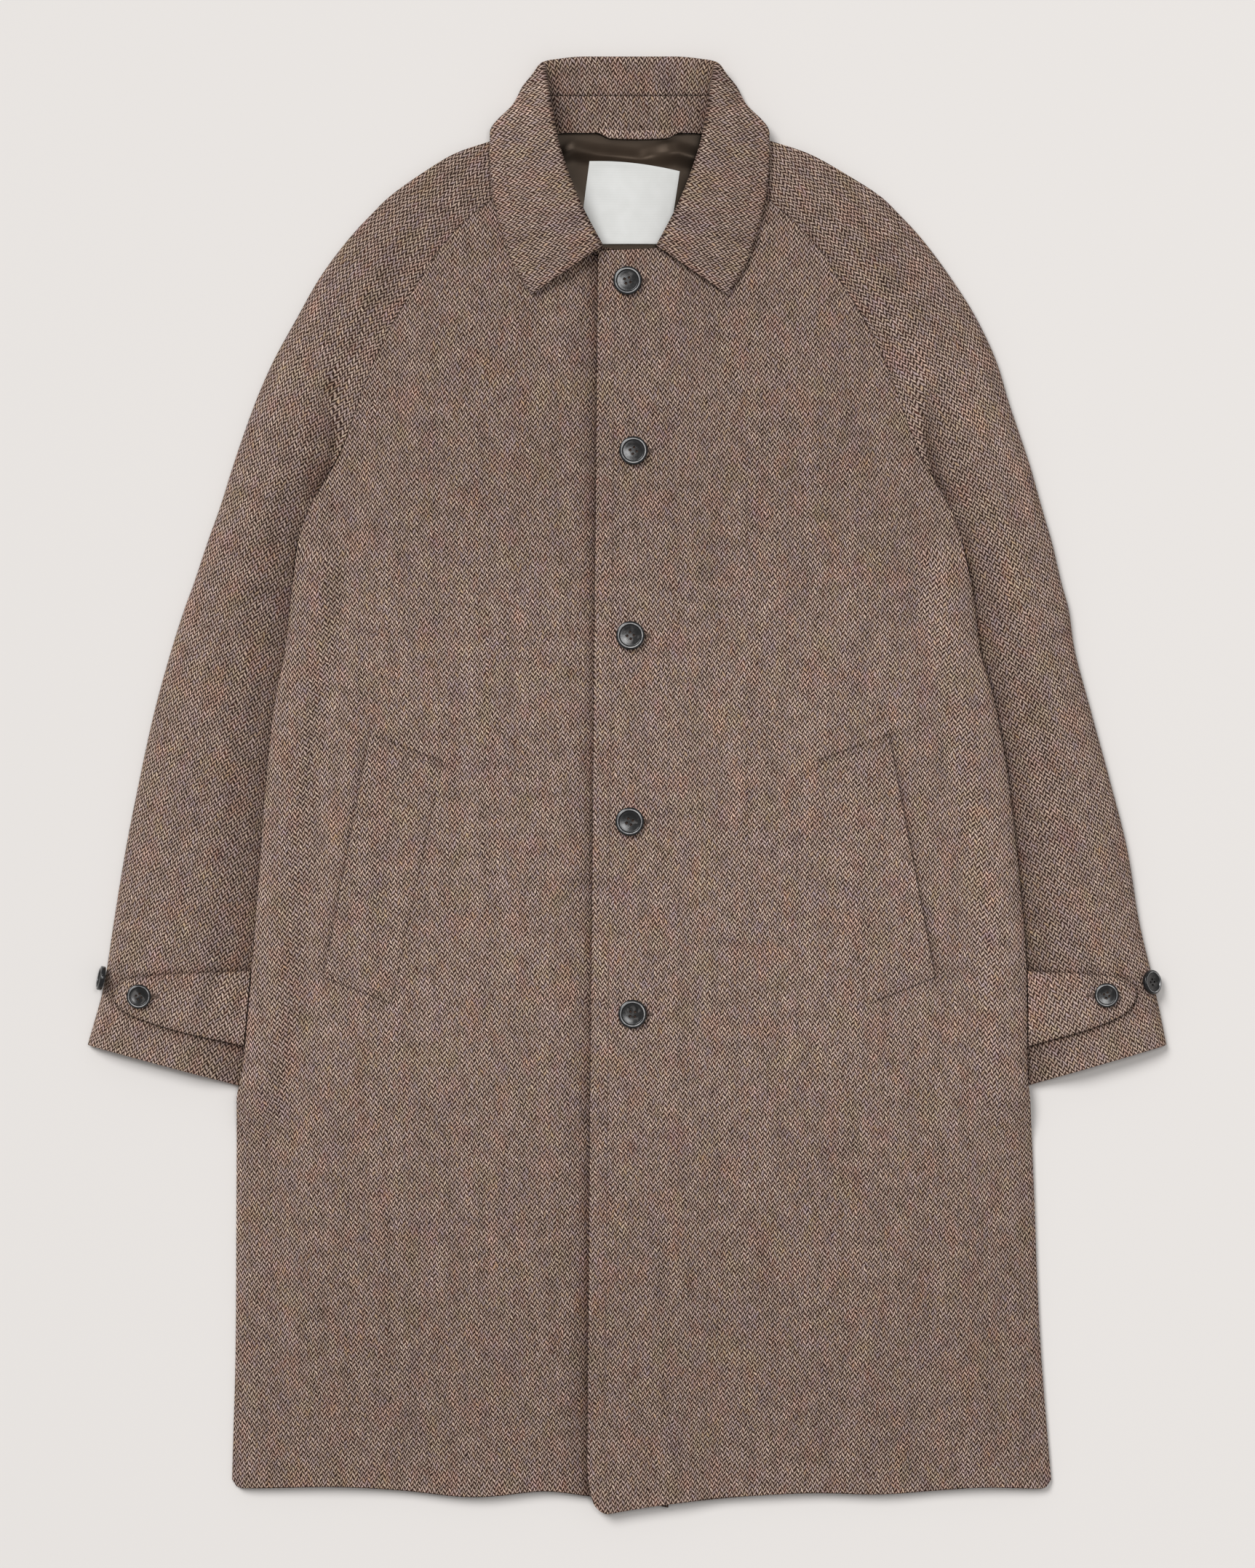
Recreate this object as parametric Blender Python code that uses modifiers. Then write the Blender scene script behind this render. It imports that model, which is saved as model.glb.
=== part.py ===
"""Raglan overcoat in brown herringbone wool, laid out flat on its back.

+X is the wearer's left, +Y runs from the hem to the collar, +Z is up from the surface it lies on.
Tables and sizes are in millimetres, measured from the button line and the hem; meshes are in metres.
"""

import math
from collections import namedtuple

import bmesh
import bpy
import numpy as np
from mathutils import Euler, Vector
from mathutils.bvhtree import BVHTree

MM = 0.001
OBJECT = "overcoat"
SIDES = {"right": -1, "left": 1}

# Walls of cloth
CLOTH = 3.0
COLLAR_CLOTH = 3.0
STAND_CLOTH = 2.6
WELT_CLOTH = 2.6
TAB_CLOTH = 2.6
LINING_CLOTH = 1.0
LABEL_CLOTH = 1.0
LOOP_CLOTH = 2.0

# Clearances between the layers
SEAM = 0.3
SEAM_SHARE = 0.2
LAY = 0.5
EDGE_AIR = 0.2
SEAM_AIR = 1.0
BODY_AIR = 1.6
SLEEVE_AIR = 3.4

# Levels up the coat
UNDERARM = 757.0
SLEEVE_CLEAR = 730.0
SLEEVE_TUCKED = 690.0
FRONT_TOP = 986.0
BACK_NECK = 1079.0
BACK_HEM = 6.0

# The body's side edges lie over the inner strips of the sleeves
TUCK_RISE = 7.0
TUCK_OVERLAP = 14.0
TUCK_FLAT = 20.0
TUCK_SLOPE = 46.0
TUCK_START = (272.0, 310.0)
BACK_INSET = 1.2

# The closing: the left front laps over the right one
LAP_EDGE_TOP = -25.0
LAP_EDGE_HEM = -34.0
UNDERLAP_EDGE = 31.0
LAP_STEP = (34.0, 76.0)
BUTTON_COLUMN = 2.0
HEM_CORNER_ROUND = 11.0
HEM_CORNER_HEIGHT = 38.0
SIDE_CORNER = 7.0
HEM_DROP_REACH = {"right": 78.0, "left": 100.0}
HEM_DROP = {"right": -15.5, "left": -20.5}
HEM_FADE = 260.0
UNDERLAP_DROP = 8.0
UNDERLAP_REACH = 70.0

BodySection = namedtuple("BodySection", "height right left")
BODY = [BodySection(*row) for row in (
    (0, 317, 336),
    (120, 314, 327),
    (310, 313, 319),
    (330, 309, 317),
    (413, 301, 316),
    (490, 295, 310),
    (568, 289, 301),
    (630, 282, 290),
    (664, 275, 280),
    (715, 269, 273),
    (UNDERARM, 264, 264),
)]

# Raglan seam from the underarm to the neckline
SeamPoint = namedtuple("SeamPoint", "height half")
RAGLAN = [SeamPoint(*row) for row in (
    (UNDERARM, 264),
    (779, 256),
    (803, 243),
    (828, 229),
    (862, 217),
    (886, 208),
    (912, 197),
    (939, 182),
    (966, 165),
    (FRONT_TOP, 152),
    (992, 147),
    (1007, 134),
    (1025, 112),
    (1047, 88),
)]

# Sections of a sleeve, each from a point of its inner edge to a point of its outer edge
SleeveSection = namedtuple("SleeveSection", "height outer_height right left")
SLEEVE = [SleeveSection(*row) for row in (
    (317, 353, 432, 428),
    (365, 401, 419, 418),
    (420, 452, 411, 406),
    (480, 507, 402, 397),
    (550, 563, 391, 383),
    (620, 618, 379, 368),
    (SLEEVE_TUCKED, 672, 364, 354),
    (SLEEVE_CLEAR, 700, 355, 350),
    (UNDERARM, 722, 347, 344),
    (779, 752, 337, 337),
    (803, 783, 326, 328),
    (828, 815, 316, 319),
    (862, 866, 298, 302),
    (886, 896, 285, 293),
    (912, 931, 266, 277),
    (939, 966, 246, 255),
    (966, 999, 221, 230),
    (FRONT_TOP, 1019, 202, 211),
    (992, 1027, 194, 203),
    (1007, 1046, 168, 174),
    (1025, 1064, 138, 141),
    (1047, 1075, 105, 107),
)]
SLEEVE_COLUMNS = (0.0, 0.12, 0.27, 0.43, 0.58, 0.73, 0.87, 0.96, 1.0)
SLEEVE_BACK_COLUMNS = (0.0, 0.5, 1.0)
SLEEVE_CROWN_START = 14.0
SLEEVE_CROWN_END = 75.0
SLEEVE_EDGE_ROUND = 42.0

# Armpit crease on each sleeve, from its upper end down to the underarm
CREASE_TOP = (247.0, 914.0)
CREASE_LOW = (236.0, 838.0)
CREASE_WIDTH = 14.0
CREASE_DEPTH = 1.9

# Front neckline, from the raglan seam down to the front edge
NECKLINE = [SeamPoint(*row) for row in (
    (992, 37),
    (1007, 54),
    (1025, 65),
    (1047, 73),
)]
BACK_NECKLINE = [SeamPoint(*row) for row in (
    (1047, 88),
    (1062, 80),
    (BACK_NECK, 70),
)]

# Soft folds that run up the fronts, each with the dip that it gives the hem
Fold = namedtuple("Fold", "x_low x_high low high width rise hem")
FOLDS = [Fold(*row) for row in (
    (-128, -96, -40, 340, 42, 1.5, -5.0),
    (-238, -205, -40, 560, 38, 1.4, 1.5),
    (-66, -60, -40, 240, 26, 0.7, 2.5),
    (118, 100, -40, 420, 44, 1.4, 0.5),
    (200, 186, -40, 520, 36, 1.5, -2.5),
    (284, 262, -40, 300, 30, 1.0, 1.5),
    (-150, -128, 660, 900, 42, 1.4, 0.0),
    (152, 132, 640, 910, 42, 1.3, 0.0),
)]
FOLD_FADE = 110.0

SKIRT_HEIGHTS = (
    0, 24, 70, 125, 185, 240, 272, 291, 310, 350, 413, 490, 568, 630, SLEEVE_TUCKED, SLEEVE_CLEAR)
FRONT_COLUMNS_MIDDLE = 4
SIDE_COLUMNS = (46.0, 33.0, 20.0, 12.0, 5.0, 0.0)
BACK_SIDE_COLUMNS = (46.0, 33.0, 20.0, 0.0)

# Collar, from the front end of a leaf to the centre back: neck seam, roll line and outer edge
CollarSection = namedtuple(
    "CollarSection",
    "neck_half neck_height neck_z roll_half roll_height roll_z edge_half edge_height edge_z seam")
COLLAR = [CollarSection(*row) for row in (
    (27, 984, 13.4, 22, 988, 17.2, 78, 950, 11.0, 0.80),
    (42, 994, 13.0, 28, 999, 19.0, 93, 976, 11.4, 0.84),
    (59, 1012, 11.4, 38, 1018, 22.0, 102, 1002, 11.8, 0.88),
    (71, 1038, 10.8, 50, 1047, 25.5, 109, 1032, 12.2, 0.88),
    (75, 1054, 10.6, 58, 1073, 28.0, 111, 1056, 12.4, 0.86),
    (73, 1065, 8.6, 62, 1094, 27.5, 111, 1079, 11.0, 0.78),
    (67, 1073, 7.2, 66, 1114, 23.0, 95, 1103, 3.4, 0.68),
    (60, 1078, 6.0, 70, 1132, 15.0, 86, 1120, 2.0, 0.60),
    (50, BACK_NECK + 0.6, 5.3, 58, 1137, 7.6, 62, 1108, 2.0, 0.54),
    (30, BACK_NECK + 0.6, 5.0, 34, 1139, 5.8, 35, 1106, 1.9, 0.52),
    (0, BACK_NECK + 0.6, 5.0, 0, 1139, 5.6, 0, 1106, 1.9, 0.52),
)]
ROLL_RADIUS = 3.0
ROLL_SHARE = 0.3
COLLAR_SEAM = 0.75
LEAF_BULGE = 1.4
LEAF_SHARES = (0.3, 0.65)

# Satin lining and label in the neck, and the loop at the neck seam
LINING = [SeamPoint(*row) for row in (
    (962, 52),
    (985, 66),
    (1010, 76),
    (1040, 79),
    (1062, 76),
    (BACK_NECK - 0.8, 66),
)]
LINING_COLUMNS = 9
LABEL_X = (-32.0, 40.0)
LABEL_HEIGHT = (997.0, 1053.0)
LABEL_TILT = 6.0
LABEL_LEAN = 0.14
LABEL_BULGE = 0.9
LABEL_GRID = (6, 5)
LOOP_X = (-26.0, 40.0)
LOOP_HEIGHT = (1075.5, 1083.0)
LOOP_SAG = 1.6
LOOP_RISE = 1.2
LOOP_POINTS = 9

# Pocket welts, as four corners, and sleeve tabs, as sections from the root to the tip
WELT_CORNERS = ((190, 386), (243, 407), (206, 601), (149, 580))
WELT_GRID = (4, 10)
TabSection = namedtuple("TabSection", "reach low high")
TAB = [TabSection(*row) for row in (
    (0.0, 352, 412),
    (0.25, 358, 411),
    (0.5, 364, 410),
    (0.75, 372, 408),
    (0.92, 380, 405),
    (1.0, 389, 399),
)]
TAB_ROWS = (0.0, 0.33, 0.67, 1.0)
TAB_TIP = {"right": 411.0, "left": 403.0}
TAB_ROOT_GAP = 0.8

# Buttons, as places on the coat and a turned profile in shares of radius and thickness
ButtonPlace = namedtuple("ButtonPlace", "x height")
FRONT_BUTTONS = [ButtonPlace(*row) for row in (
    (-1.7, 961.5),
    (3.0, 826.0),
    (0.6, 679.0),
    (0.0, 531.0),
    (2.3, 378.0),
)]
TAB_BUTTONS = {"right": ButtonPlace(390, 392), "left": ButtonPlace(379, 393)}
EdgeButton = namedtuple("EdgeButton", "x height z tilt")
EDGE_BUTTONS = {"right": EdgeButton(419.0, 406, 10.3, 78), "left": EdgeButton(414.6, 403, 10.8, 45)}
FRONT_BUTTON_SIZE = (22.8, 4.2)
CUFF_BUTTON_SIZE = (19.4, 3.8)
ProfilePoint = namedtuple("ProfilePoint", "radius height")
BUTTON_PROFILE = [ProfilePoint(*row) for row in (
    (0.0, 0.52),
    (0.46, 0.52),
    (0.60, 0.74),
    (0.74, 0.95),
    (0.90, 1.0),
    (1.0, 0.70),
    (0.94, 0.20),
    (0.74, 0.0),
    (0.0, 0.0),
)]
BUTTON_STEPS = 18
HOLE_RADIUS = 0.10
HOLE_OFFSET = 0.165
HOLE_SIDES = 8

Finish = namedtuple("Finish", "red green blue roughness")
FINISHES = {
    "tweed": Finish(0.22, 0.155, 0.125, 0.95),
    "satin": Finish(0.075, 0.035, 0.022, 0.38),
    "label": Finish(0.80, 0.77, 0.72, 0.80),
    "horn": Finish(0.030, 0.017, 0.012, 0.32),
}


def clear_scene():
    """Remove whatever objects the open file holds."""
    for existing in list(bpy.data.objects):
        bpy.data.objects.remove(existing, do_unlink=True)


def make_collection(name):
    """A new collection in the scene."""
    collection = bpy.data.collections.new(name)
    bpy.context.scene.collection.children.link(collection)
    return collection


def make_material(name, finish):
    """A Principled material with one of the coat's finishes."""
    material = bpy.data.materials.new(name)
    material.use_nodes = True
    shader = material.node_tree.nodes["Principled BSDF"]
    shader.inputs["Base Color"].default_value = (finish.red, finish.green, finish.blue, 1.0)
    shader.inputs["Roughness"].default_value = finish.roughness
    shader.inputs["Metallic"].default_value = 0.0
    return material


def add_part(coat, name, mesh, finish):
    """An object for one sewn piece, with a material of its own, hung on the coat's empty."""
    part = bpy.data.objects.new(name, mesh)
    mesh.materials.clear()
    mesh.materials.append(make_material(name, FINISHES[finish]))
    coat.users_collection[0].objects.link(part)
    part.parent = coat
    return part


def smoothstep(value, start, end):
    """0 before start, 1 after end, and a smooth rise between them."""
    share = min(max((value - start) / (end - start), 0.0), 1.0)
    return share * share * (3.0 - 2.0 * share)


def along(table, column, height):
    """A column of a table of sections, at any height between its rows."""
    heights = [row.height for row in table]
    return float(np.interp(height, heights, [getattr(row, column) for row in table]))


def cloth(coat, name, rows, thickness, finish, offset=-1.0):
    """A wall of cloth through rows of points, grown downwards from them, or both ways at offset 0."""
    across = len(rows[0]) - 1
    up = len(rows) - 1
    shape = bmesh.new()
    bmesh.ops.create_grid(shape, x_segments=across, y_segments=up, size=0.5)
    for vertex in shape.verts:
        column = round((vertex.co.x + 0.5) * across)
        row = round((vertex.co.y + 0.5) * up)
        vertex.co = Vector(rows[row][column]) * MM
    shape.normal_update()
    if sum(face.normal.z * face.calc_area() for face in shape.faces) < 0.0:
        bmesh.ops.reverse_faces(shape, faces=shape.faces[:])
    mesh = bpy.data.meshes.new(name)
    shape.to_mesh(mesh)
    shape.free()
    mesh.shade_smooth()
    part = add_part(coat, name, mesh, finish)
    wall = part.modifiers.new("wall", "SOLIDIFY")
    wall.thickness = thickness * MM
    wall.offset = offset
    wall.use_even_offset = True
    return part


def surface_of(rows):
    """A search tree of the faces through rows of points."""
    width = len(rows[0])
    points = [point for row in rows for point in row]
    faces = [(r * width + c, r * width + c + 1, (r + 1) * width + c + 1, (r + 1) * width + c)
             for r in range(len(rows) - 1) for c in range(width - 1)]
    return BVHTree.FromPolygons(points, faces)


def lie_on(surface, x, y, lift):
    """The point above a surface at x, y, raised by lift."""
    above = 1000.0
    found = surface.ray_cast(Vector((x, y, above)), Vector((0.0, 0.0, -1.0)))[0]
    return (x, y, found.z + lift)


def body_half(side, height):
    """Half-width of the body up to the underarm, and of the fronts and back up to the neckline above it."""
    if height <= UNDERARM:
        return along(BODY, side, height)
    return along(RAGLAN, "half", height)


def tuck(height, from_side):
    """How far the body's side strip is raised by the sleeve under it."""
    length = smoothstep(height, *TUCK_START) * (1.0 - smoothstep(height, SLEEVE_CLEAR, UNDERARM))
    return TUCK_RISE * length * (1.0 - smoothstep(from_side, TUCK_FLAT, TUCK_SLOPE))


def folds(x, height):
    """Height of the soft folds at a point of the fronts."""
    total = 0.0
    for fold in FOLDS:
        centre = np.interp(height, (fold.low, fold.high), (fold.x_low, fold.x_high))
        length = smoothstep(height, fold.low - FOLD_FADE, fold.low)
        length *= 1.0 - smoothstep(height, fold.high, fold.high + FOLD_FADE)
        total += fold.rise * length * math.exp(-((x - centre) / fold.width) ** 2)
    return total


def hem_shift(side, x, from_front, from_side, height):
    """How far a point near the hem lies above or below its level."""
    shift = HEM_DROP[side] * math.exp(-from_front / HEM_DROP_REACH[side])
    for fold in FOLDS:
        if fold.hem:
            shift += fold.hem * math.exp(-((x - fold.x_low) / fold.width) ** 2)
    shift += SIDE_CORNER * max(0.0, 1.0 - from_side / SIDE_CORNER) ** 2
    return shift * max(0.0, 1.0 - height / HEM_FADE)


def front_edge(side, height):
    """Distance of a front's free edge from the button line, towards that front's side."""
    if side == "right":
        return -UNDERLAP_EDGE
    edge = np.interp(height, (0.0, FRONT_TOP), (LAP_EDGE_HEM, LAP_EDGE_TOP))
    return edge + HEM_CORNER_ROUND * max(0.0, 1.0 - height / HEM_CORNER_HEIGHT) ** 2


def front_columns(side, height):
    """Distances from the button line to the columns of a front, from its free edge to its side."""
    side_edge = body_half(side, height) - (SEAM_SHARE if height >= UNDERARM else 0.0)
    edge = front_edge(side, height)
    if side == "left":
        near = [edge, BUTTON_COLUMN, LAP_STEP[0], sum(LAP_STEP) / 2, LAP_STEP[1]]
    else:
        near = [edge, -BUTTON_COLUMN, -LAP_EDGE_TOP, (LAP_STEP[1] - LAP_EDGE_TOP) / 2, LAP_STEP[1]]
    last = side_edge - SIDE_COLUMNS[0]
    step = (last - near[-1]) / (FRONT_COLUMNS_MIDDLE + 1)
    middle = [near[-1] + step * (i + 1) for i in range(FRONT_COLUMNS_MIDDLE)]
    return near + middle + [side_edge - inset for inset in SIDE_COLUMNS]


def front_z(side, x, height, from_side):
    """Outer height of a front: the back under it, its own wall, air, folds and the lap."""
    edge_air = SEAM_AIR if height >= UNDERARM else EDGE_AIR
    air = edge_air + (BODY_AIR - edge_air) * smoothstep(from_side, 0.0, TUCK_FLAT)
    air += folds(x, height) * smoothstep(from_side, 0.0, TUCK_SLOPE)
    height_over_back = CLOTH + tuck(height, from_side) + SEAM + air
    if side == "left":
        height_over_back += (CLOTH + LAY) * (1.0 - smoothstep(x, *LAP_STEP))
    return height_over_back + CLOTH


def front_rows(side):
    """Points of a front's outer face, from the hem to the neckline."""
    sign = SIDES[side]
    heights = list(SKIRT_HEIGHTS) + [point.height for point in RAGLAN]
    level = front_columns(side, FRONT_TOP)
    shares = [(place - level[0]) / (level[-1] - level[0]) for place in level]
    rows = []
    for height in heights:
        if height <= FRONT_TOP:
            places = front_columns(side, height)
        else:
            inner = along(NECKLINE, "half", height)
            outer = body_half(side, height) - SEAM_SHARE
            places = [inner + (outer - inner) * share for share in shares]
        row = []
        for place in places:
            from_side = places[-1] - place
            from_front = place - places[0]
            shift = hem_shift(side, sign * place, from_front, from_side, height)
            if side == "right" and height == FRONT_TOP:
                shift -= UNDERLAP_DROP * (1.0 - smoothstep(from_front, 0.0, UNDERLAP_REACH))
            z = front_z(side, sign * place, height, from_side)
            row.append((sign * place, height + shift, z))
        rows.append(row)
    return rows


def back_rows():
    """Points of the back's upper face, from the hem to the neck seam."""
    heights = [max(height, BACK_HEM) for height in SKIRT_HEIGHTS]
    heights += [point.height for point in RAGLAN[:-1]]
    heights += [point.height for point in BACK_NECKLINE]
    rows = []
    for height in heights:
        row = []
        for side, sign in SIDES.items():
            if height >= BACK_NECKLINE[0].height:
                half = along(BACK_NECKLINE, "half", height)
            else:
                half = body_half(side, height)
            half -= SEAM_SHARE if height >= UNDERARM else BACK_INSET
            columns = [(sign * (half - inset), height, CLOTH + tuck(height, inset))
                       for inset in BACK_SIDE_COLUMNS]
            row += columns[::-1] if sign < 0 else columns
        rows.append(row)
    return rows


def sleeve_inner(side, height):
    """Half-width at the inner edge of a sleeve, tucked under the body below the underarm."""
    if height >= UNDERARM:
        return body_half(side, height) + SEAM_SHARE
    covered = 1.0 - smoothstep(height, SLEEVE_TUCKED, SLEEVE_CLEAR)
    return body_half(side, height) + LAY - (TUCK_OVERLAP + LAY) * covered


def crease(x, height):
    """Depth of the armpit crease at a point of a sleeve."""
    top = Vector(CREASE_TOP)
    run = Vector(CREASE_LOW) - top
    place = Vector((x, height))
    share = min(max((place - top).dot(run) / run.length_squared, 0.0), 1.0)
    away = (place - top - run * share).length
    return CREASE_DEPTH * math.exp(-(away / CREASE_WIDTH) ** 2)


def sleeve_z(section, x, y, from_inner, from_outer):
    """Outer height of a sleeve's upper half."""
    inner_air = SEAM_AIR if section.height >= UNDERARM else EDGE_AIR
    crown = smoothstep(from_inner, SLEEVE_CROWN_START, SLEEVE_CROWN_END)
    air = inner_air + (SLEEVE_AIR - inner_air) * crown - crease(x, y) * crown
    to_edge = 1.0 - min(from_outer / SLEEVE_EDGE_ROUND, 1.0)
    air = max(air * math.sqrt(1.0 - to_edge ** 2), EDGE_AIR)
    return CLOTH + SEAM + air + CLOTH


def sleeve_rows(side, shares, inset, height_of):
    """Points of one half of a sleeve, from the cuff to the neckline."""
    sign = SIDES[side]
    rows = []
    for section in SLEEVE:
        inner = Vector((sleeve_inner(side, section.height), section.height))
        outer = Vector((getattr(section, side) - inset, section.outer_height))
        width = (outer - inner).length
        row = []
        for share in shares:
            place = inner.lerp(outer, share)
            z = height_of(section, place.x, place.y, width * share, width * (1.0 - share))
            row.append((sign * place.x, place.y, z))
        rows.append(row)
    return rows


def collar_profile(section, sign):
    """Neck seam, inner roll, roll line, outer roll and outer edge of the collar at one section."""
    neck = Vector((sign * section.neck_half, section.neck_height, section.neck_z))
    roll = Vector((sign * section.roll_half, section.roll_height, section.roll_z))
    edge = Vector((sign * section.edge_half, section.edge_height, section.edge_z))
    to_neck = (neck - roll).normalized()
    to_edge = (edge - roll).normalized()
    back_from_roll = (to_neck + to_edge).normalized()
    spread = (to_neck - to_edge).normalized()
    radius = min(ROLL_RADIUS, ROLL_SHARE * (neck - roll).length)
    inner = roll + (back_from_roll + spread) * radius
    outer = roll + (back_from_roll - spread) * radius
    return neck, inner, roll, outer, edge


def collar_rows():
    """Rows of the stand and of the fall, round the neck from the right leaf to the left one."""
    sections = [(section, SIDES["right"]) for section in COLLAR]
    sections += [(section, SIDES["left"]) for section in COLLAR[-2::-1]]
    stand = []
    fall = []
    for section, sign in sections:
        neck, inner, roll, outer, edge = collar_profile(section, sign)
        gap = COLLAR_SEAM / (inner - neck).length
        stand.append([neck, neck.lerp(inner, section.seam / 2), neck.lerp(inner, section.seam - gap)])
        leaf = []
        for share in LEAF_SHARES:
            point = outer.lerp(edge, share)
            point.z += LEAF_BULGE
            leaf.append(point)
        fall.append([neck.lerp(inner, section.seam + gap), inner, roll, outer, *leaf, edge])
    return stand, fall


def lining_rows():
    """Points of the satin that shows in the neck."""
    rows = []
    for point in LINING:
        row = []
        for column in range(LINING_COLUMNS):
            share = 2.0 * column / (LINING_COLUMNS - 1) - 1.0
            row.append((share * point.half, point.height, CLOTH + SEAM + LINING_CLOTH))
        rows.append(row)
    return rows


def label_rows(lining):
    """Points of the label, bowed slightly off the lining."""
    columns, up = LABEL_GRID
    rows = []
    for r in range(up):
        row = []
        for c in range(columns):
            across = c / (columns - 1)
            rise = r / (up - 1)
            y = LABEL_HEIGHT[0] + (LABEL_HEIGHT[1] - LABEL_HEIGHT[0]) * rise
            x = LABEL_X[0] + (LABEL_X[1] - LABEL_X[0]) * across
            x -= LABEL_LEAN * (LABEL_HEIGHT[1] - y)
            y += LABEL_TILT * (0.5 - across) * rise
            bow = LABEL_BULGE * math.sin(math.pi * across) * (1.0 - rise)
            row.append(lie_on(lining, x, y, SEAM + LABEL_CLOTH + bow))
        rows.append(row)
    return rows


def loop_rows():
    """Points of the hanger loop, on the foot of the stand and sagging between its sewn ends."""
    seat = COLLAR[-1].neck_z + STAND_CLOTH / 2 + LAY + LOOP_CLOTH
    rows = []
    for level in LOOP_HEIGHT:
        row = []
        for point in range(LOOP_POINTS):
            share = point / (LOOP_POINTS - 1)
            slack = math.sin(math.pi * share)
            x = LOOP_X[0] + (LOOP_X[1] - LOOP_X[0]) * share
            row.append((x, level - LOOP_SAG * slack, seat + LOOP_RISE * slack))
        rows.append(row)
    return rows


def welt_rows(side, front):
    """Points of a pocket welt, lying on its front between four corners."""
    columns, up = WELT_GRID
    low_in, low_out, high_out, high_in = [Vector(corner) for corner in WELT_CORNERS]
    rows = []
    for r in range(up):
        left = low_in.lerp(high_in, r / (up - 1))
        right = low_out.lerp(high_out, r / (up - 1))
        places = [left.lerp(right, c / (columns - 1)) for c in range(columns)]
        rows.append([lie_on(front, SIDES[side] * place.x, place.y, LAY + WELT_CLOTH)
                     for place in places])
    return rows


def tab_rows(side, sleeve):
    """Points of a sleeve tab, from its root beside the body to its rounded tip."""
    rows = []
    for section in TAB:
        row = []
        for share in TAB_ROWS:
            height = section.low + (section.high - section.low) * share
            root = body_half(side, height) + TAB_ROOT_GAP
            x = root + (TAB_TIP[side] - root) * section.reach
            row.append(lie_on(sleeve, SIDES[side] * x, height, LAY + TAB_CLOTH))
        rows.append(row)
    return rows


def button_mesh(name, diameter, thickness):
    """A turned four-hole button with a dished face, its back at z = 0."""
    radius = diameter / 2
    profile = bpy.data.meshes.new(name + "_profile")
    points = [(p.radius * radius * MM, 0.0, p.height * thickness * MM) for p in BUTTON_PROFILE]
    profile.from_pydata(points, [(i, i + 1) for i in range(len(points) - 1)], [])
    blank = bpy.data.objects.new(name + "_blank", profile)
    bpy.context.scene.collection.objects.link(blank)
    turned = blank.modifiers.new("turned", "SCREW")
    turned.steps = BUTTON_STEPS
    turned.render_steps = BUTTON_STEPS
    turned.use_merge_vertices = True
    turned.merge_threshold = 0.00001

    holes = bmesh.new()
    for across in (-1, 1):
        for up in (-1, 1):
            made = bmesh.ops.create_cone(
                holes, cap_ends=True, segments=HOLE_SIDES, radius1=HOLE_RADIUS * radius * MM,
                radius2=HOLE_RADIUS * radius * MM, depth=3.0 * thickness * MM)
            place = Vector((across, up, 0.0)) * HOLE_OFFSET * radius * MM
            bmesh.ops.translate(holes, verts=made["verts"], vec=place)
    drill_mesh = bpy.data.meshes.new(name + "_drill")
    holes.to_mesh(drill_mesh)
    holes.free()
    drill = bpy.data.objects.new(name + "_drill", drill_mesh)
    bpy.context.scene.collection.objects.link(drill)
    drilled = blank.modifiers.new("drilled", "BOOLEAN")
    drilled.operation = "DIFFERENCE"
    drilled.object = drill

    scene_state = bpy.context.evaluated_depsgraph_get()
    mesh = bpy.data.meshes.new_from_object(blank.evaluated_get(scene_state))
    mesh.name = name
    mesh.shade_smooth()
    mesh.set_sharp_from_angle(angle=math.radians(40))
    bpy.data.objects.remove(blank, do_unlink=True)
    bpy.data.objects.remove(drill, do_unlink=True)
    return mesh


def add_button(coat, name, mesh, place, tilt=0.0):
    """One button with its back at place, turned about the coat's length by tilt degrees."""
    button = add_part(coat, name, mesh.copy(), "horn")
    button.location = Vector(place) * MM
    button.rotation_euler = Euler((0.0, math.radians(tilt), 0.0))
    return button


def add_body(coat):
    """The back and the two fronts; gives the fronts' faces for what is sewn on them."""
    cloth(coat, "back_panel", back_rows(), CLOTH, "tweed")
    faces = {}
    for side in SIDES:
        rows = front_rows(side)
        cloth(coat, "front_" + side, rows, CLOTH, "tweed")
        faces[side] = surface_of(rows)
    return faces


def add_sleeves(coat):
    """Both halves of the two sleeves; gives the upper halves' faces."""
    faces = {}
    for side in SIDES:
        under = sleeve_rows(side, SLEEVE_BACK_COLUMNS, BACK_INSET, lambda *_: CLOTH)
        cloth(coat, "sleeve_back_" + side, under, CLOTH, "tweed")
        rows = sleeve_rows(side, SLEEVE_COLUMNS, 0.0, sleeve_z)
        cloth(coat, "sleeve_front_" + side, rows, CLOTH, "tweed")
        faces[side] = surface_of(rows)
    return faces


def add_collar(coat):
    """The stand, the fall and what shows inside the neck."""
    stand, fall = collar_rows()
    cloth(coat, "collar_stand", stand, STAND_CLOTH, "tweed", offset=0.0)
    cloth(coat, "collar_fall", fall, COLLAR_CLOTH, "tweed", offset=0.0)
    rows = lining_rows()
    cloth(coat, "neck_lining", rows, LINING_CLOTH, "satin")
    lining = surface_of(rows)
    cloth(coat, "neck_label", label_rows(lining), LABEL_CLOTH, "label")
    cloth(coat, "hanger_loop", loop_rows(), LOOP_CLOTH, "tweed")


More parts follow.
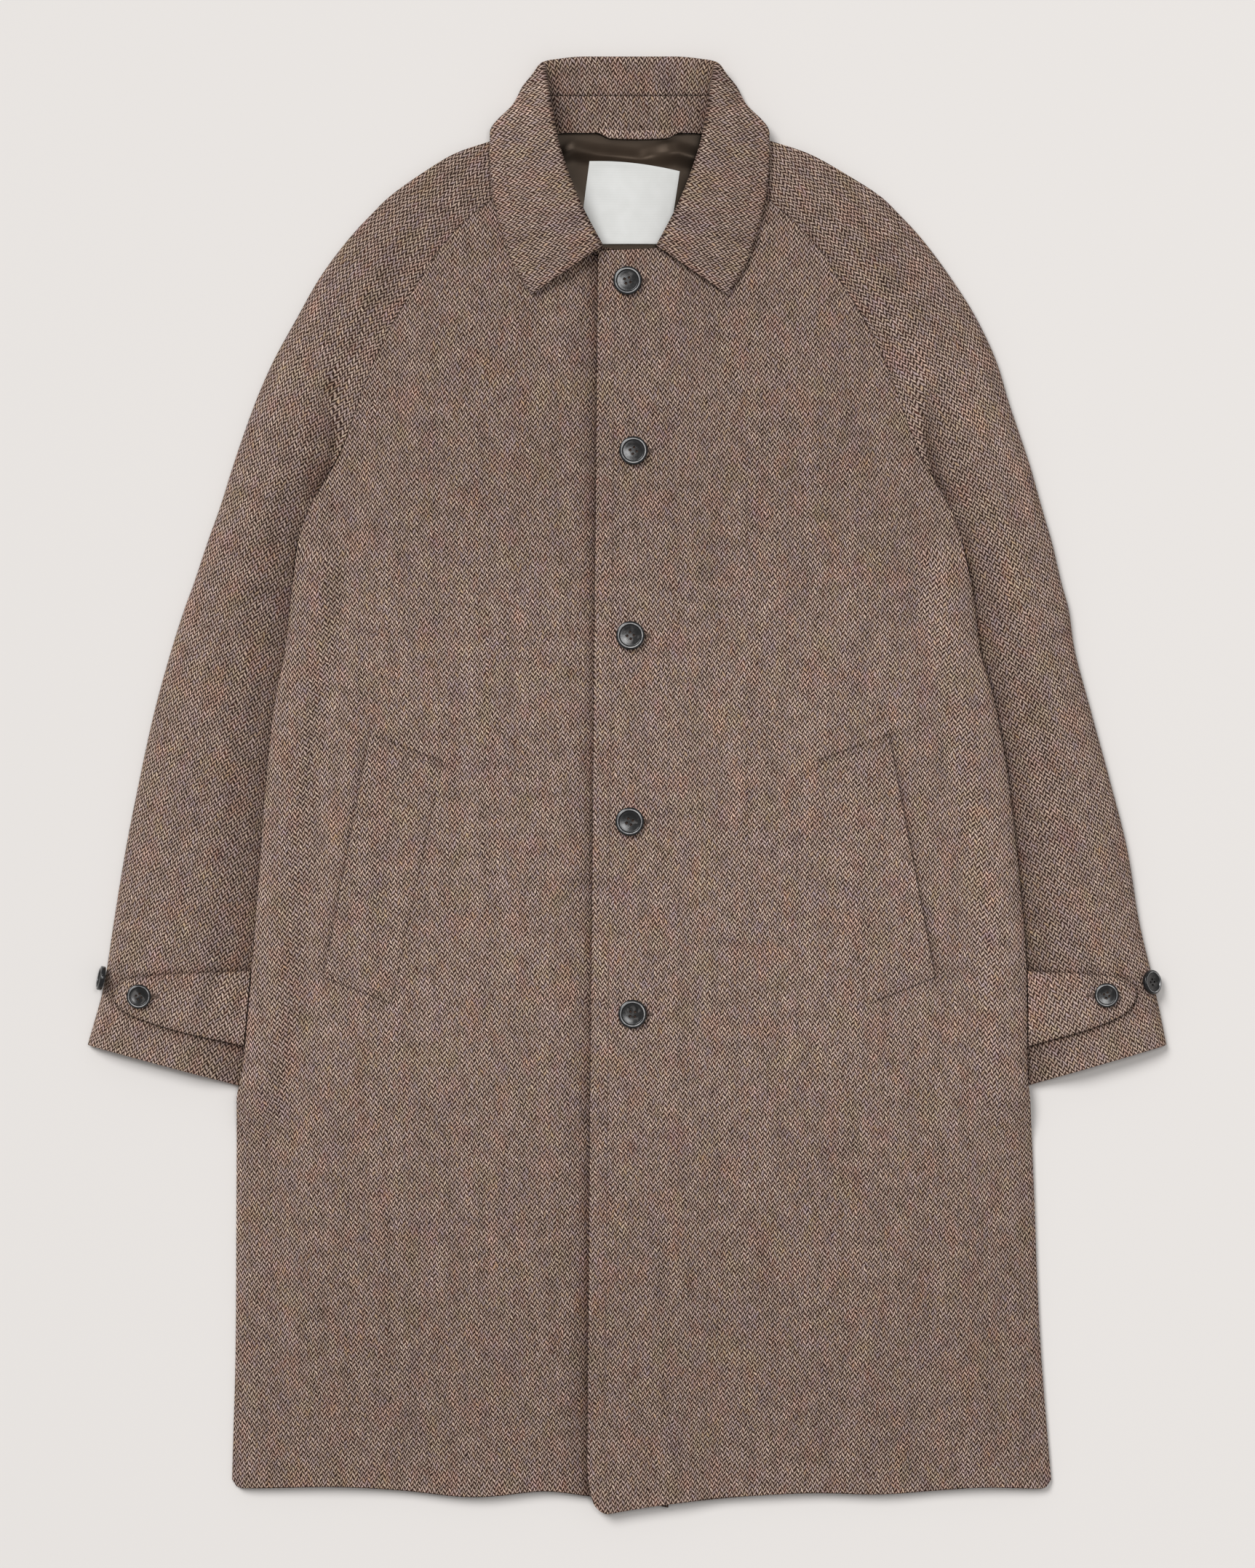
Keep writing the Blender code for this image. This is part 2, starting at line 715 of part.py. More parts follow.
def add_trim(coat, fronts, sleeves):
    """Welts, tabs and buttons, each on the panel that carries it."""
    cuff_mesh = button_mesh("cuff_button", *CUFF_BUTTON_SIZE)
    for side, sign in SIDES.items():
        cloth(coat, "pocket_welt_" + side, welt_rows(side, fronts[side]), WELT_CLOTH, "tweed")
        rows = tab_rows(side, sleeves[side])
        cloth(coat, "sleeve_tab_" + side, rows, TAB_CLOTH, "tweed")
        place = TAB_BUTTONS[side]
        seat = lie_on(surface_of(rows), sign * place.x, place.height, LAY)
        add_button(coat, f"cuff_button_{side}_1", cuff_mesh, seat)
        edge = EDGE_BUTTONS[side]
        add_button(coat, f"cuff_button_{side}_2", cuff_mesh,
                   (sign * edge.x, edge.height, edge.z), sign * edge.tilt)
    front_mesh = button_mesh("front_button", *FRONT_BUTTON_SIZE)
    for number, place in enumerate(FRONT_BUTTONS, start=1):
        seat = lie_on(fronts["left"], place.x, place.height, LAY)
        add_button(coat, f"front_button_{number}", front_mesh, seat)


def centre_on_origin(coat):
    """Move the coat's empty so that the middle of its footprint is at the origin."""
    bpy.context.view_layer.update()
    scene_state = bpy.context.evaluated_depsgraph_get()
    corners = [part.matrix_world @ Vector(corner) for part in coat.children
               for corner in part.evaluated_get(scene_state).bound_box]
    low = [min(corner[axis] for corner in corners) for axis in range(3)]
    high = [max(corner[axis] for corner in corners) for axis in range(3)]
    coat.location = (-(low[0] + high[0]) / 2, -(low[1] + high[1]) / 2, -low[2])


def build_coat():
    """The whole coat under one empty."""
    clear_scene()
    parts = make_collection(OBJECT)
    coat = bpy.data.objects.new(OBJECT, None)
    parts.objects.link(coat)
    fronts = add_body(coat)
    sleeves = add_sleeves(coat)
    add_collar(coat)
    add_trim(coat, fronts, sleeves)
    centre_on_origin(coat)


build_coat()
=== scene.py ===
# %% [markdown]
# # A raglan overcoat, laid out flat
#
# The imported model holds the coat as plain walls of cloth. This lesson dresses it: each panel becomes a
# soft sheet with its own folds and weave, and buttons, buttonholes and stitches are added on top.
# The coat lies on its back, so heights above the floor are small and the weave does most of the work.

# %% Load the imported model
import math

import bpy
import numpy as np
from mathutils import Matrix, Vector

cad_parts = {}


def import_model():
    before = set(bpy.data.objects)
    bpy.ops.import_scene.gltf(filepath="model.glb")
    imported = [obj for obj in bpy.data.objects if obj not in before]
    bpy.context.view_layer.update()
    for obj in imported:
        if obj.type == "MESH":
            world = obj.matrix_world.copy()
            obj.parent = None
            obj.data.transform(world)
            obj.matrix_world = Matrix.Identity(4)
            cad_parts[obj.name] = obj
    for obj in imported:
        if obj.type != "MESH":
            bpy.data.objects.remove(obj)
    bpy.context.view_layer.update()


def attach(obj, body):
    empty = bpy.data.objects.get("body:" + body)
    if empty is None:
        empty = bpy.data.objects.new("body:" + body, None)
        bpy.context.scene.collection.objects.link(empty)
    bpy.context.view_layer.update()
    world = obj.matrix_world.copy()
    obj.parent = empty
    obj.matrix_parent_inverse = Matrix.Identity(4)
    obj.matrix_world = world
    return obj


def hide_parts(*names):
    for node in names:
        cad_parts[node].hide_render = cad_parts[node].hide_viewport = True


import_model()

# %% [markdown]
# Tailors measure from fixed lines. Here every place on the coat is given in millimetres from the line of
# buttons and up from the hem, and one function turns such places into metres in the model's frame.

# %% Places on the coat
MM = 0.001
BUTTON_LINE = 2.0
HEM_LINE = -560.6
SIDES = {"right": -1, "left": 1}


def world(points):
    """Points as (across, up from the hem, above the floor) in millimetres, in metres of the model's frame."""
    return (np.asarray(points, float) + (BUTTON_LINE, HEM_LINE, 0.0)) * MM


def rise(value, start, end):
    """0 before start, 1 after end, and a smooth rise between them."""
    share = np.clip((np.asarray(value, float) - start) / (end - start), 0.0, 1.0)
    return share * share * (3.0 - 2.0 * share)


def shares_of(grid):
    """Shares from 0 to 1 up and across a piece, for a grid of rows and columns."""
    rows, columns = grid
    return np.linspace(0.0, 1.0, rows)[:, None], np.linspace(0.0, 1.0, columns)[None, :]


def unit(vectors):
    """Vectors of length 1, row by row."""
    return vectors / np.linalg.norm(vectors, axis=1)[:, None]


def deselect():
    """Leave edit mode and select nothing, so that the next operator acts on its own piece alone."""
    if bpy.context.object and bpy.context.object.mode != "OBJECT":
        bpy.ops.object.mode_set(mode="OBJECT")
    bpy.ops.object.select_all(action="DESELECT")


print("middle button at", world((0.0, 679.0, 0.0)).round(3))

# %% [markdown]
# A coat that lies on the floor is photographed from straight above. A long lens keeps the collar, which is
# nearer to the camera than the hem, from looking too large. The frame is as tall as 1.25 m on the floor.

# %% Camera
FRAME_HEIGHT = 1.2505
FRAME_CENTRE = (0.0003, 0.0003)
LENS = 160.0

camera = bpy.data.objects.new("camera", bpy.data.cameras.new("camera"))
bpy.context.scene.collection.objects.link(camera)
camera.data.lens = LENS
camera.location = (*FRAME_CENTRE, FRAME_HEIGHT * LENS / camera.data.sensor_width)
bpy.context.scene.camera = camera
bpy.context.scene.view_settings.view_transform = "Standard"
print("camera height in m:", round(camera.location.z, 2))

# %% [markdown]
# The floor is a plain pale sheet. One wide, soft lamp stands at the upper left, so edges throw short soft
# shadows to the lower right. A softbox hangs above the coat and mirrors itself in the polished buttons and
# the satin, and a pale surround fills the folds from all sides.

# %% Floor and light
FLOOR_COLOUR = (0.807, 0.778, 0.757, 1.0)
FLOOR_SIZE = 12.0
FLOOR_GAP = 0.0003
LAMP_TURN = (math.radians(42.0), 0.0, math.radians(221.0))
LAMP_STRENGTH = 2.0
LAMP_SPREAD = math.radians(30.0)
SOFTBOX_WATTS = 95.0
SOFTBOX_SIZE = 1.8
SOFTBOX_PLACE = (1.3, 1.15, 7.0)
SURROUND_COLOUR = (1.0, 0.99, 0.975, 1.0)
SURROUND_STRENGTH = 0.365


def add_lamp(name, kind, strength):
    """A lamp in the scene."""
    made = bpy.data.objects.new(name, bpy.data.lights.new(name, kind))
    bpy.context.scene.collection.objects.link(made)
    made.data.energy = strength
    return made


deselect()
bpy.ops.mesh.primitive_plane_add(size=FLOOR_SIZE, location=(0.0, 0.0, -FLOOR_GAP))
floor = bpy.context.object
floor.name = "floor"
floor_paper = bpy.data.materials.new("floor_paper")
floor_paper.use_nodes = True
floor_shader = floor_paper.node_tree.nodes["Principled BSDF"]
floor_shader.inputs["Base Color"].default_value = FLOOR_COLOUR
floor_shader.inputs["Roughness"].default_value = 0.9
floor_shader.inputs["Specular IOR Level"].default_value = 0.1
floor.data.materials.append(floor_paper)

lamp = add_lamp("wide_lamp", "SUN", LAMP_STRENGTH)
lamp.data.angle = LAMP_SPREAD
lamp.rotation_euler = LAMP_TURN
softbox = add_lamp("softbox", "AREA", SOFTBOX_WATTS)
softbox.data.size = SOFTBOX_SIZE
softbox.location = SOFTBOX_PLACE

surround = bpy.data.worlds.new("surround")
surround.use_nodes = True
sky = surround.node_tree.nodes["Background"]
sky.inputs["Color"].default_value = SURROUND_COLOUR
sky.inputs["Strength"].default_value = SURROUND_STRENGTH
bpy.context.scene.world = surround
print("lamp shines along", (lamp.matrix_basis.to_3x3() @ Vector((0, 0, -1)))[:])

# %% [markdown]
# Materials are node trees. Small helpers keep the lessons below short. The first adds a node and fills its
# sockets, linking those that are given another node's output; the others add one kind of node each.

# %% Node helpers


def add_node(tree, kind, settings=None, **sockets):
    """A node with settings on it and with its inputs set, or linked where an output is given."""
    node = tree.nodes.new(kind)
    for key, value in (settings or {}).items():
        setattr(node, key, value)
    for key, value in sockets.items():
        socket = node.inputs[int(key[1:])] if key[1:].isdigit() else node.inputs[key.replace("_", " ")]
        if isinstance(value, bpy.types.NodeSocket):
            tree.links.new(value, socket)
        else:
            socket.default_value = value
    return node


def sum_of(tree, operation, a, b=0.0, c=0.0):
    """The output of a Math node."""
    return add_node(tree, "ShaderNodeMath", {"operation": operation}, i0=a, i1=b, i2=c).outputs[0]


def vector_of(tree, operation, a, b=(0.0, 0.0, 0.0), c=(0.0, 0.0, 0.0)):
    """The vector output of a Vector Math node."""
    return add_node(tree, "ShaderNodeVectorMath", {"operation": operation}, i0=a, i1=b, i2=c).outputs[0]


def scaled(tree, vector, scale):
    """A vector or colour times a number."""
    return add_node(tree, "ShaderNodeVectorMath", {"operation": "SCALE"}, i0=vector, Scale=scale).outputs[0]


def noise_of(tree, vector, scale, detail, output="Fac", **more):
    """The output of a Noise texture."""
    node = add_node(tree, "ShaderNodeTexNoise", Vector=vector, Scale=scale, Detail=detail, **more)
    return node.outputs[output]


def range_of(tree, value, first, last, low=0.0, high=1.0, kind="SMOOTHSTEP"):
    """The output of a Map Range node from first and last to low and high."""
    return add_node(tree, "ShaderNodeMapRange", {"interpolation_type": kind}, Value=value, From_Min=first,
                    From_Max=last, To_Min=low, To_Max=high).outputs[0]


def attribute_of(tree, name, output):
    """An output of an Attribute node."""
    return add_node(tree, "ShaderNodeAttribute", {"attribute_name": name}).outputs[output]


def emboss(tree, shader, height, strength, distance):
    """Let a height tilt the light on a shader."""
    relief = add_node(tree, "ShaderNodeBump", Strength=strength, Distance=distance, Height=height)
    tree.links.new(relief.outputs["Normal"], shader.inputs["Normal"])


def ramp_of(tree, value, stops):
    """A colour ramp's output; stops are (place, red, green, blue) or (place, grey)."""
    node = add_node(tree, "ShaderNodeValToRGB", Fac=value)
    stretch = node.color_ramp.elements
    for _ in range(len(stops) - 2):
        stretch.new(0.5)
    for element, (place, *colour) in zip(stretch, stops):
        element.position = place
        element.color = (*(colour if len(colour) == 3 else colour * 3), 1.0)
    return node.outputs["Color"]


def mix_of(tree, blend, factor, first, second):
    """The colour output of a Mix node."""
    node = add_node(tree, "ShaderNodeMix", {"data_type": "RGBA", "blend_type": blend})
    for socket, value in ((node.inputs[0], factor), (node.inputs[6], first), (node.inputs[7], second)):
        if isinstance(value, bpy.types.NodeSocket):
            tree.links.new(value, socket)
        else:
            socket.default_value = value
    return node.outputs[2]


def start_group(name, inputs, outputs):
    """A node group with named sockets, and its input and output nodes."""
    group = bpy.data.node_groups.new(name, "ShaderNodeTree")
    for socket, kind in inputs:
        group.interface.new_socket(socket, in_out="INPUT", socket_type=kind)
    for socket, kind in outputs:
        group.interface.new_socket(socket, in_out="OUTPUT", socket_type=kind)
    return group, group.nodes.new("NodeGroupInput"), group.nodes.new("NodeGroupOutput")


# %% [markdown]
# The cloth is a herringbone tweed: narrow columns of slanting light and dark yarns, each column leaning
# against the next. A zigzag across the grain, added to the distance along it, gives those slanted stripes.
# Every other column is moved by half a step, so the end of each yarn meets the side of the next, as in
# parquet. White noise by column and stripe gives each yarn its own shade, and slow noise gathers rust,
# lilac and olive yarns into soft patches, as the dyed wool does.

# %% Herringbone weave
CHEVRON_COLUMN = 2.0
CHEVRON_PITCH = 4.15
CHEVRON_CLIMB = 0.64
CHEVRON_STAGGER = 0.5
# Painted shade: the share of brightness kept by the light yarns of every other column.
LEAN_PAINTED_SHADE = 0.88
WOBBLE_SCALE = 0.14
WOBBLE = (2.8, 3.0, 0.0)
FIBRE_SCALE = 2.2
FIBRE_HEIGHT = 0.7
YARN_END = 0.2
YARN_END_SHADE = 0.7
YARN_FRAY = 0.9
YARN_UNEVEN = 0.16
LIGHT_FROM = 0.3
LIGHT_FULL = 0.8
DARK_SHIFT = (31.0, 17.0, 5.0)
LIGHT_YARN = (
    (0.0, 0.50, 0.370, 0.294), (0.3, 0.655, 0.505, 0.415), (0.55, 0.47, 0.346, 0.283),
    (0.75, 0.57, 0.434, 0.375), (0.88, 0.455, 0.352, 0.334), (1.0, 0.53, 0.380, 0.266))
DARK_YARN = (
    (0.0, 0.028, 0.014, 0.010), (0.4, 0.058, 0.032, 0.023), (0.62, 0.042, 0.023, 0.017),
    (0.8, 0.084, 0.034, 0.023), (0.92, 0.050, 0.032, 0.033), (1.0, 0.062, 0.042, 0.024))

weave, weave_in, weave_out = start_group(
    "herringbone", [("Grain", "NodeSocketVector")],
    [("Colour", "NodeSocketColor"), ("Height", "NodeSocketFloat")])
grain_mm = scaled(weave, weave_in.outputs["Grain"], 1.0 / MM)
wobble = noise_of(weave, grain_mm, WOBBLE_SCALE, 1.5, "Color")
wobble_off = vector_of(weave, "SUBTRACT", wobble, (0.5, 0.5, 0.5))
uneven = vector_of(weave, "MULTIPLY_ADD", wobble_off, WOBBLE, grain_mm)
across_up = add_node(weave, "ShaderNodeSeparateXYZ", Vector=uneven)
column = sum_of(weave, "DIVIDE", across_up.outputs["X"], CHEVRON_COLUMN)
zigzag = sum_of(weave, "PINGPONG", column, 1.0)
level = sum_of(weave, "DIVIDE", across_up.outputs["Y"], CHEVRON_PITCH)
odd = sum_of(weave, "FLOORED_MODULO", sum_of(weave, "FLOOR", column), 2.0)
slanted = sum_of(weave, "MULTIPLY_ADD", zigzag, CHEVRON_CLIMB, level)
stripe = sum_of(weave, "MULTIPLY_ADD", odd, CHEVRON_STAGGER, slanted)
wave = sum_of(weave, "COSINE", sum_of(weave, "MULTIPLY", stripe, 2.0 * math.pi))
crest = sum_of(weave, "MULTIPLY_ADD", wave, 0.5, 0.5)
in_column = sum_of(weave, "PINGPONG", column, 0.5)
yarn_body = range_of(weave, in_column, 0.0, YARN_END, YARN_END_SHADE)
fibres = noise_of(weave, grain_mm, FIBRE_SCALE, 2.0)
frayed = sum_of(weave, "MULTIPLY", sum_of(weave, "SUBTRACT", fibres, 0.5), YARN_FRAY)
yarn_id = add_node(weave, "ShaderNodeCombineXYZ", X=sum_of(weave, "FLOOR", column),
                   Y=sum_of(weave, "FLOOR", sum_of(weave, "ADD", stripe, 0.5))).outputs[0]
yarn_noise = add_node(weave, "ShaderNodeTexWhiteNoise", {"noise_dimensions": "3D"}, Vector=yarn_id)
thick = sum_of(weave, "MULTIPLY_ADD", yarn_noise.outputs["Value"], YARN_UNEVEN, -0.5 * YARN_UNEVEN)
woolly = sum_of(weave, "ADD", thick, sum_of(weave, "MULTIPLY_ADD", crest, yarn_body, frayed))
light_yarn = range_of(weave, woolly, LIGHT_FROM, LIGHT_FULL)
# Painted shade: every other column's light yarns are dimmed, as if they slanted away from the lamp.
lean_painted_shade = sum_of(weave, "MULTIPLY_ADD", odd, LEAN_PAINTED_SHADE - 1.0, 1.0)
light_share = sum_of(weave, "MULTIPLY", light_yarn, lean_painted_shade)
dark_id = vector_of(weave, "ADD", yarn_id, DARK_SHIFT)
dark_noise = add_node(weave, "ShaderNodeTexWhiteNoise", {"noise_dimensions": "3D"}, Vector=dark_id)
yarns = mix_of(weave, "MIX", light_share, ramp_of(weave, dark_noise.outputs["Value"], DARK_YARN),
               ramp_of(weave, yarn_noise.outputs["Value"], LIGHT_YARN))

# %% Patches of dye and loose fibres
PATCHES = (
    # dye; scale across and along and seed of its noise; tint; noise where it starts and is full; strength
    ("rust", (0.055, 0.036, 1.0), (1.12, 0.92, 0.88, 1.0), (0.50, 0.66), 0.5),
    ("lilac", (0.050, 0.030, 7.0), (0.95, 0.94, 1.06, 1.0), (0.52, 0.68), 0.65),
    ("olive", (0.050, 0.030, 13.0), (1.01, 1.03, 0.88, 1.0), (0.52, 0.68), 0.65))
SHADES = (
    # scale and detail of the noise, depth of the shade
    (0.085, 2.0, 0.15), (0.9, 1.0, 0.20))
STREAK_SCALE = (0.07, 0.009, 0.0)

dyed = yarns
for _, spread, tint, (first, last), strength in PATCHES:
    stretched = vector_of(weave, "MULTIPLY_ADD", grain_mm, (*spread[:2], 0.0), (0.0, 0.0, spread[2]))
    share = range_of(weave, noise_of(weave, stretched, 1.0, 3.0), first, last, 0.0, strength)
    dyed = mix_of(weave, "MULTIPLY", share, dyed, tint)
streaks = noise_of(weave, vector_of(weave, "MULTIPLY", grain_mm, STREAK_SCALE), 1.0, 2.0)
streak_shade = ramp_of(weave, streaks, ((0.3, 0.92), (0.7, 1.08)))
fibre_shade = ramp_of(weave, fibres, ((0.3, 0.78), (0.7, 1.22)))
streaked = mix_of(weave, "MULTIPLY", 1.0, dyed, streak_shade)
for scale, detail, depth in SHADES:
    clouds = noise_of(weave, grain_mm, scale, detail)
    streaked = scaled(weave, streaked, range_of(weave, clouds, 0.3, 0.7, 1.0 - depth, 1.0 + depth, "LINEAR"))
weave.links.new(mix_of(weave, "MULTIPLY", 1.0, streaked, fibre_shade), weave_out.inputs["Colour"])
yarn_height = sum_of(weave, "MULTIPLY", crest, yarn_body)
weave.links.new(sum_of(weave, "MULTIPLY_ADD", fibres, FIBRE_HEIGHT, yarn_height), weave_out.inputs["Height"])
print("weave nodes:", len(weave.nodes))

# %% [markdown]
# The tweed itself is matt wool: no gloss to speak of, and a little sheen from the loose fibres that stand up
# from it. Painted shade, stored on the points, darkens the cloth in folds, beside edges and in dim places.
# The satin lining is smooth and catches long highlights, the label is a fine plain weave, and the buttons are
# dark horn with a painted highlight on the turned ring; the cloudy streaks in the dish are the horn's own,
# lightened to grey as a painted reflection.

# %% Materials
# Painted shade: the dark tints that the stored shade mixes into the tweed and into the satin.
PAINTED_SHADE_TINT = (0.36, 0.33, 0.32, 1.0)
SATIN_PAINTED_SHADE_TINT = (0.05, 0.05, 0.05, 1.0)
WEFT_TINT = (0.93, 0.93, 0.92, 1.0)
RIM_HORN = (0.006, 0.006, 0.007, 1.0)


def start_material(name, roughness, specular):
    """A Principled material, its tree and its shader."""
    material = bpy.data.materials.new(name)
    material.use_nodes = True
    shader = material.node_tree.nodes["Principled BSDF"]
    shader.inputs["Roughness"].default_value = roughness
    shader.inputs["Specular IOR Level"].default_value = specular
    return material, material.node_tree, shader


tweed, tree, shader = start_material("herringbone_tweed", 0.95, 0.08)
shader.inputs["Sheen Weight"].default_value = 0.03
shader.inputs["Sheen Roughness"].default_value = 0.5
shader.inputs["Sheen Tint"].default_value = (0.80, 0.66, 0.58, 1.0)
woven = add_node(tree, "ShaderNodeGroup", {"node_tree": weave}, Grain=attribute_of(tree, "grain", "Vector"))
# Painted shade: the stored attribute multiplies the weave towards a dark tint.
painted_shade = attribute_of(tree, "painted_shade", "Fac")
tree.links.new(mix_of(tree, "MULTIPLY", painted_shade, woven.outputs["Colour"], PAINTED_SHADE_TINT),
               shader.inputs["Base Color"])
emboss(tree, shader, woven.outputs["Height"], 0.4, 0.0005)

satin, tree, shader = start_material("brown_satin", 0.32, 0.45)
shader.inputs["Specular Tint"].default_value = (0.80, 0.62, 0.48, 1.0)
place = add_node(tree, "ShaderNodeTexCoord").outputs["Object"]
twill = add_node(tree, "ShaderNodeTexWave", {"bands_direction": "DIAGONAL"}, Vector=place, Scale=420.0)
cloudy = noise_of(tree, place, 26.0, 2.0)
satin_dye = ramp_of(tree, cloudy, ((0.3, 0.016, 0.010, 0.007), (0.7, 0.032, 0.021, 0.014)))
# Painted shade on the satin, mixed in the same way.
painted_shade = attribute_of(tree, "painted_shade", "Fac")
tree.links.new(mix_of(tree, "MULTIPLY", painted_shade, satin_dye, SATIN_PAINTED_SHADE_TINT), shader.inputs["Base Color"])
emboss(tree, shader, twill.outputs["Color"], 0.02, 0.0001)

label_weave, tree, shader = start_material("label_weave", 0.6, 0.25)
place = add_node(tree, "ShaderNodeTexCoord").outputs["Object"]
weft = add_node(tree, "ShaderNodeTexWave", {"bands_direction": "Y"},
                Vector=place, Scale=380.0, Distortion=0.6)
clean = ramp_of(tree, noise_of(tree, place, 60.0, 3.0), ((0.3, 0.71, 0.715, 0.70), (0.7, 0.775, 0.78, 0.77)))
tree.links.new(mix_of(tree, "MULTIPLY", weft.outputs["Fac"], clean, WEFT_TINT), shader.inputs["Base Color"])
emboss(tree, shader, weft.outputs["Fac"], 0.3, 0.0001)

horn, tree, shader = start_material("dark_horn", 0.2, 0.6)
turned = vector_of(tree, "MULTIPLY", attribute_of(tree, "turned", "Vector"), (1.0, 1.0, 0.0))
from_centre = add_node(tree, "ShaderNodeVectorMath", {"operation": "LENGTH"}, i0=turned).outputs["Value"]
place = add_node(tree, "ShaderNodeTexCoord").outputs["Object"]
smoke = noise_of(tree, place, 85.0, 3.0, Distortion=1.6)
# Cloudy streaks of the horn, reaching a pale grey that is partly painted reflection.
horn_clouds_and_reflection = ramp_of(tree, smoke, ((0.38, 0.003), (0.52, 0.010, 0.009, 0.009), (0.66, 0.10, 0.095, 0.093)))
in_dish = ramp_of(tree, from_centre, ((0.0, 0.85), (0.52, 1.0), (0.66, 0.10), (0.80, 0.0)))
# Painted highlight: a pale ring on the rim's crest.
ring_highlight_mask = ramp_of(tree, from_centre, ((0.775, 0.0), (0.815, 1.0), (0.845, 1.0), (0.885, 0.0)))
dark_horn = mix_of(tree, "MIX", in_dish, RIM_HORN, horn_clouds_and_reflection)
painted_ring_highlight = ramp_of(tree, smoke, ((0.35, 0.16, 0.16, 0.165), (0.6, 0.46, 0.455, 0.45)))
tree.links.new(mix_of(tree, "MIX", ring_highlight_mask, dark_horn, painted_ring_highlight), shader.inputs["Base Color"])
scuffs = noise_of(tree, place, 420.0, 2.0)
tree.links.new(range_of(tree, scuffs, 0.0, 1.0, 0.12, 0.30, "LINEAR"), shader.inputs["Roughness"])

thread, tree, shader = start_material("brown_thread", 0.7, 0.3)
place = add_node(tree, "ShaderNodeTexCoord").outputs["Object"]
twist = noise_of(tree, place, 900.0, 1.0)
tree.links.new(ramp_of(tree, twist, ((0.3, 0.085, 0.054, 0.042), (0.7, 0.17, 0.115, 0.092))),
               shader.inputs["Base Color"])
print("materials:", [m.name for m in (tweed, satin, label_weave, horn, thread)])

# %% [markdown]
# Every sheet is made in the same way. A flat grid is laid through a table of points, the wall of the cloth is
# grown with Solidify, and Bevel rounds the cut edge as a turned hem is. The direction of the grain is stored
# on the points as an attribute, because a weave follows the cut of its own piece and not the room.

# %% How a sheet is laid
RIM_ROUND = 0.6
RIM_STEPS = 2
RIM_ANGLE = math.radians(50.0)
WALL_SLANT = (0.5, 0.5)


def straight_grain(points):
    """Grain of a piece that is cut along the coat's length; it runs on down the rolled side edge."""
    x, up, z = points.T
    outward = np.sign(x.mean())
    return np.stack([x - outward * WALL_SLANT[0] * z, up + WALL_SLANT[1] * z, 0.0 * x], axis=-1)


def apply_modifier(piece, kind, **settings):
    """Add a modifier to a piece and apply it."""
    deselect()
    bpy.context.view_layer.objects.active = piece
    modifier = piece.modifiers.new(kind.lower(), kind)
    for key, value in settings.items():
        setattr(modifier, key, value)
    bpy.ops.object.modifier_apply(modifier=modifier.name)


def coat_places(piece):
    """The points of a piece in millimetres on the coat."""
    places = np.empty(len(piece.data.vertices) * 3)
    piece.data.vertices.foreach_get("co", places)
    return places.reshape(-1, 3) / MM - (BUTTON_LINE, HEM_LINE, 0.0)


def set_grain(piece, grain):
    """Store the grain of every point, in metres across and along the yarns."""
    stored = piece.data.attributes.new("grain", "FLOAT_VECTOR", "POINT")
    stored.data.foreach_set("vector", (grain * MM).ravel())


def set_turned_grain(piece, grain, turned_grain, turned):
    """Store the grain corner by corner, so that it can change its direction sharply between two cells."""
    columns = grain.shape[1]
    corners = np.empty(len(piece.data.loops), int)
    piece.data.loops.foreach_get("vertex_index", corners)
    cells = corners.reshape(-1, 4).min(axis=1)
    chosen = np.repeat(turned[cells // columns, cells % columns], 4)[:, None]
    at_corners = np.where(chosen, turned_grain.reshape(-1, 3)[corners], grain.reshape(-1, 3)[corners])
    stored = piece.data.attributes.new("grain", "FLOAT_VECTOR", "CORNER")
    stored.data.foreach_set("vector", (at_corners * MM).ravel())


def set_painted_shade(piece, painted_shade_of):
    """Store the painted shade of every point, from 0 to 1, which darkens its colour."""
    stored = piece.data.attributes.new("painted_shade", "FLOAT", "POINT")
    stored.data.foreach_set("value", np.clip(painted_shade_of(coat_places(piece)), 0.0, 1.0))


def lay_sheet(name, points, wall, grain_of=straight_grain, offset=-1.0, thin=None, rim=RIM_ROUND, grain=None):
    """A sheet of cloth through rows of points in millimetres; gives the piece and its flat size and area."""
    rows, columns = points.shape[:2]
    deselect()
    bpy.ops.mesh.primitive_grid_add(x_subdivisions=columns - 1, y_subdivisions=rows - 1, size=1.0)
    piece = bpy.context.object
    piece.name = name
    piece.data.vertices.foreach_set("co", world(points).ravel())
    piece.data.update()
    area = sum(face.area for face in piece.data.polygons)
    if sum(face.normal.z * face.area for face in piece.data.polygons) < 0.0:
        piece.data.flip_normals()
    widths = np.linalg.norm(np.diff(points, axis=1), axis=2).sum(axis=1)
    lengths = np.linalg.norm(np.diff(points, axis=0), axis=2).sum(axis=0)
    if grain is not None:
        set_turned_grain(piece, *grain)
    settings = {"thickness": wall * MM, "offset": offset}
    if thin is not None:
        group = piece.vertex_groups.new(name="wall")
        for vertex, weight in enumerate(thin.ravel()):
            group.add([vertex], float(weight), "REPLACE")
        settings["vertex_group"] = "wall"
    apply_modifier(piece, "SOLIDIFY", **settings)
    if rim > 0.0:
        apply_modifier(piece, "BEVEL", width=rim * MM, segments=RIM_STEPS, limit_method="ANGLE",
                       angle_limit=RIM_ANGLE, use_clamp_overlap=False)
    piece.data.shade_smooth()
    if grain is None:
        set_grain(piece, grain_of(coat_places(piece)))
    return piece, (widths.max() * MM, lengths.max() * MM), area


def hold(piece, slot, material):
    """Give a piece its material and let it ride on the coat; its slot is not used."""
    piece.data.materials.append(material)
    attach(piece, "root")


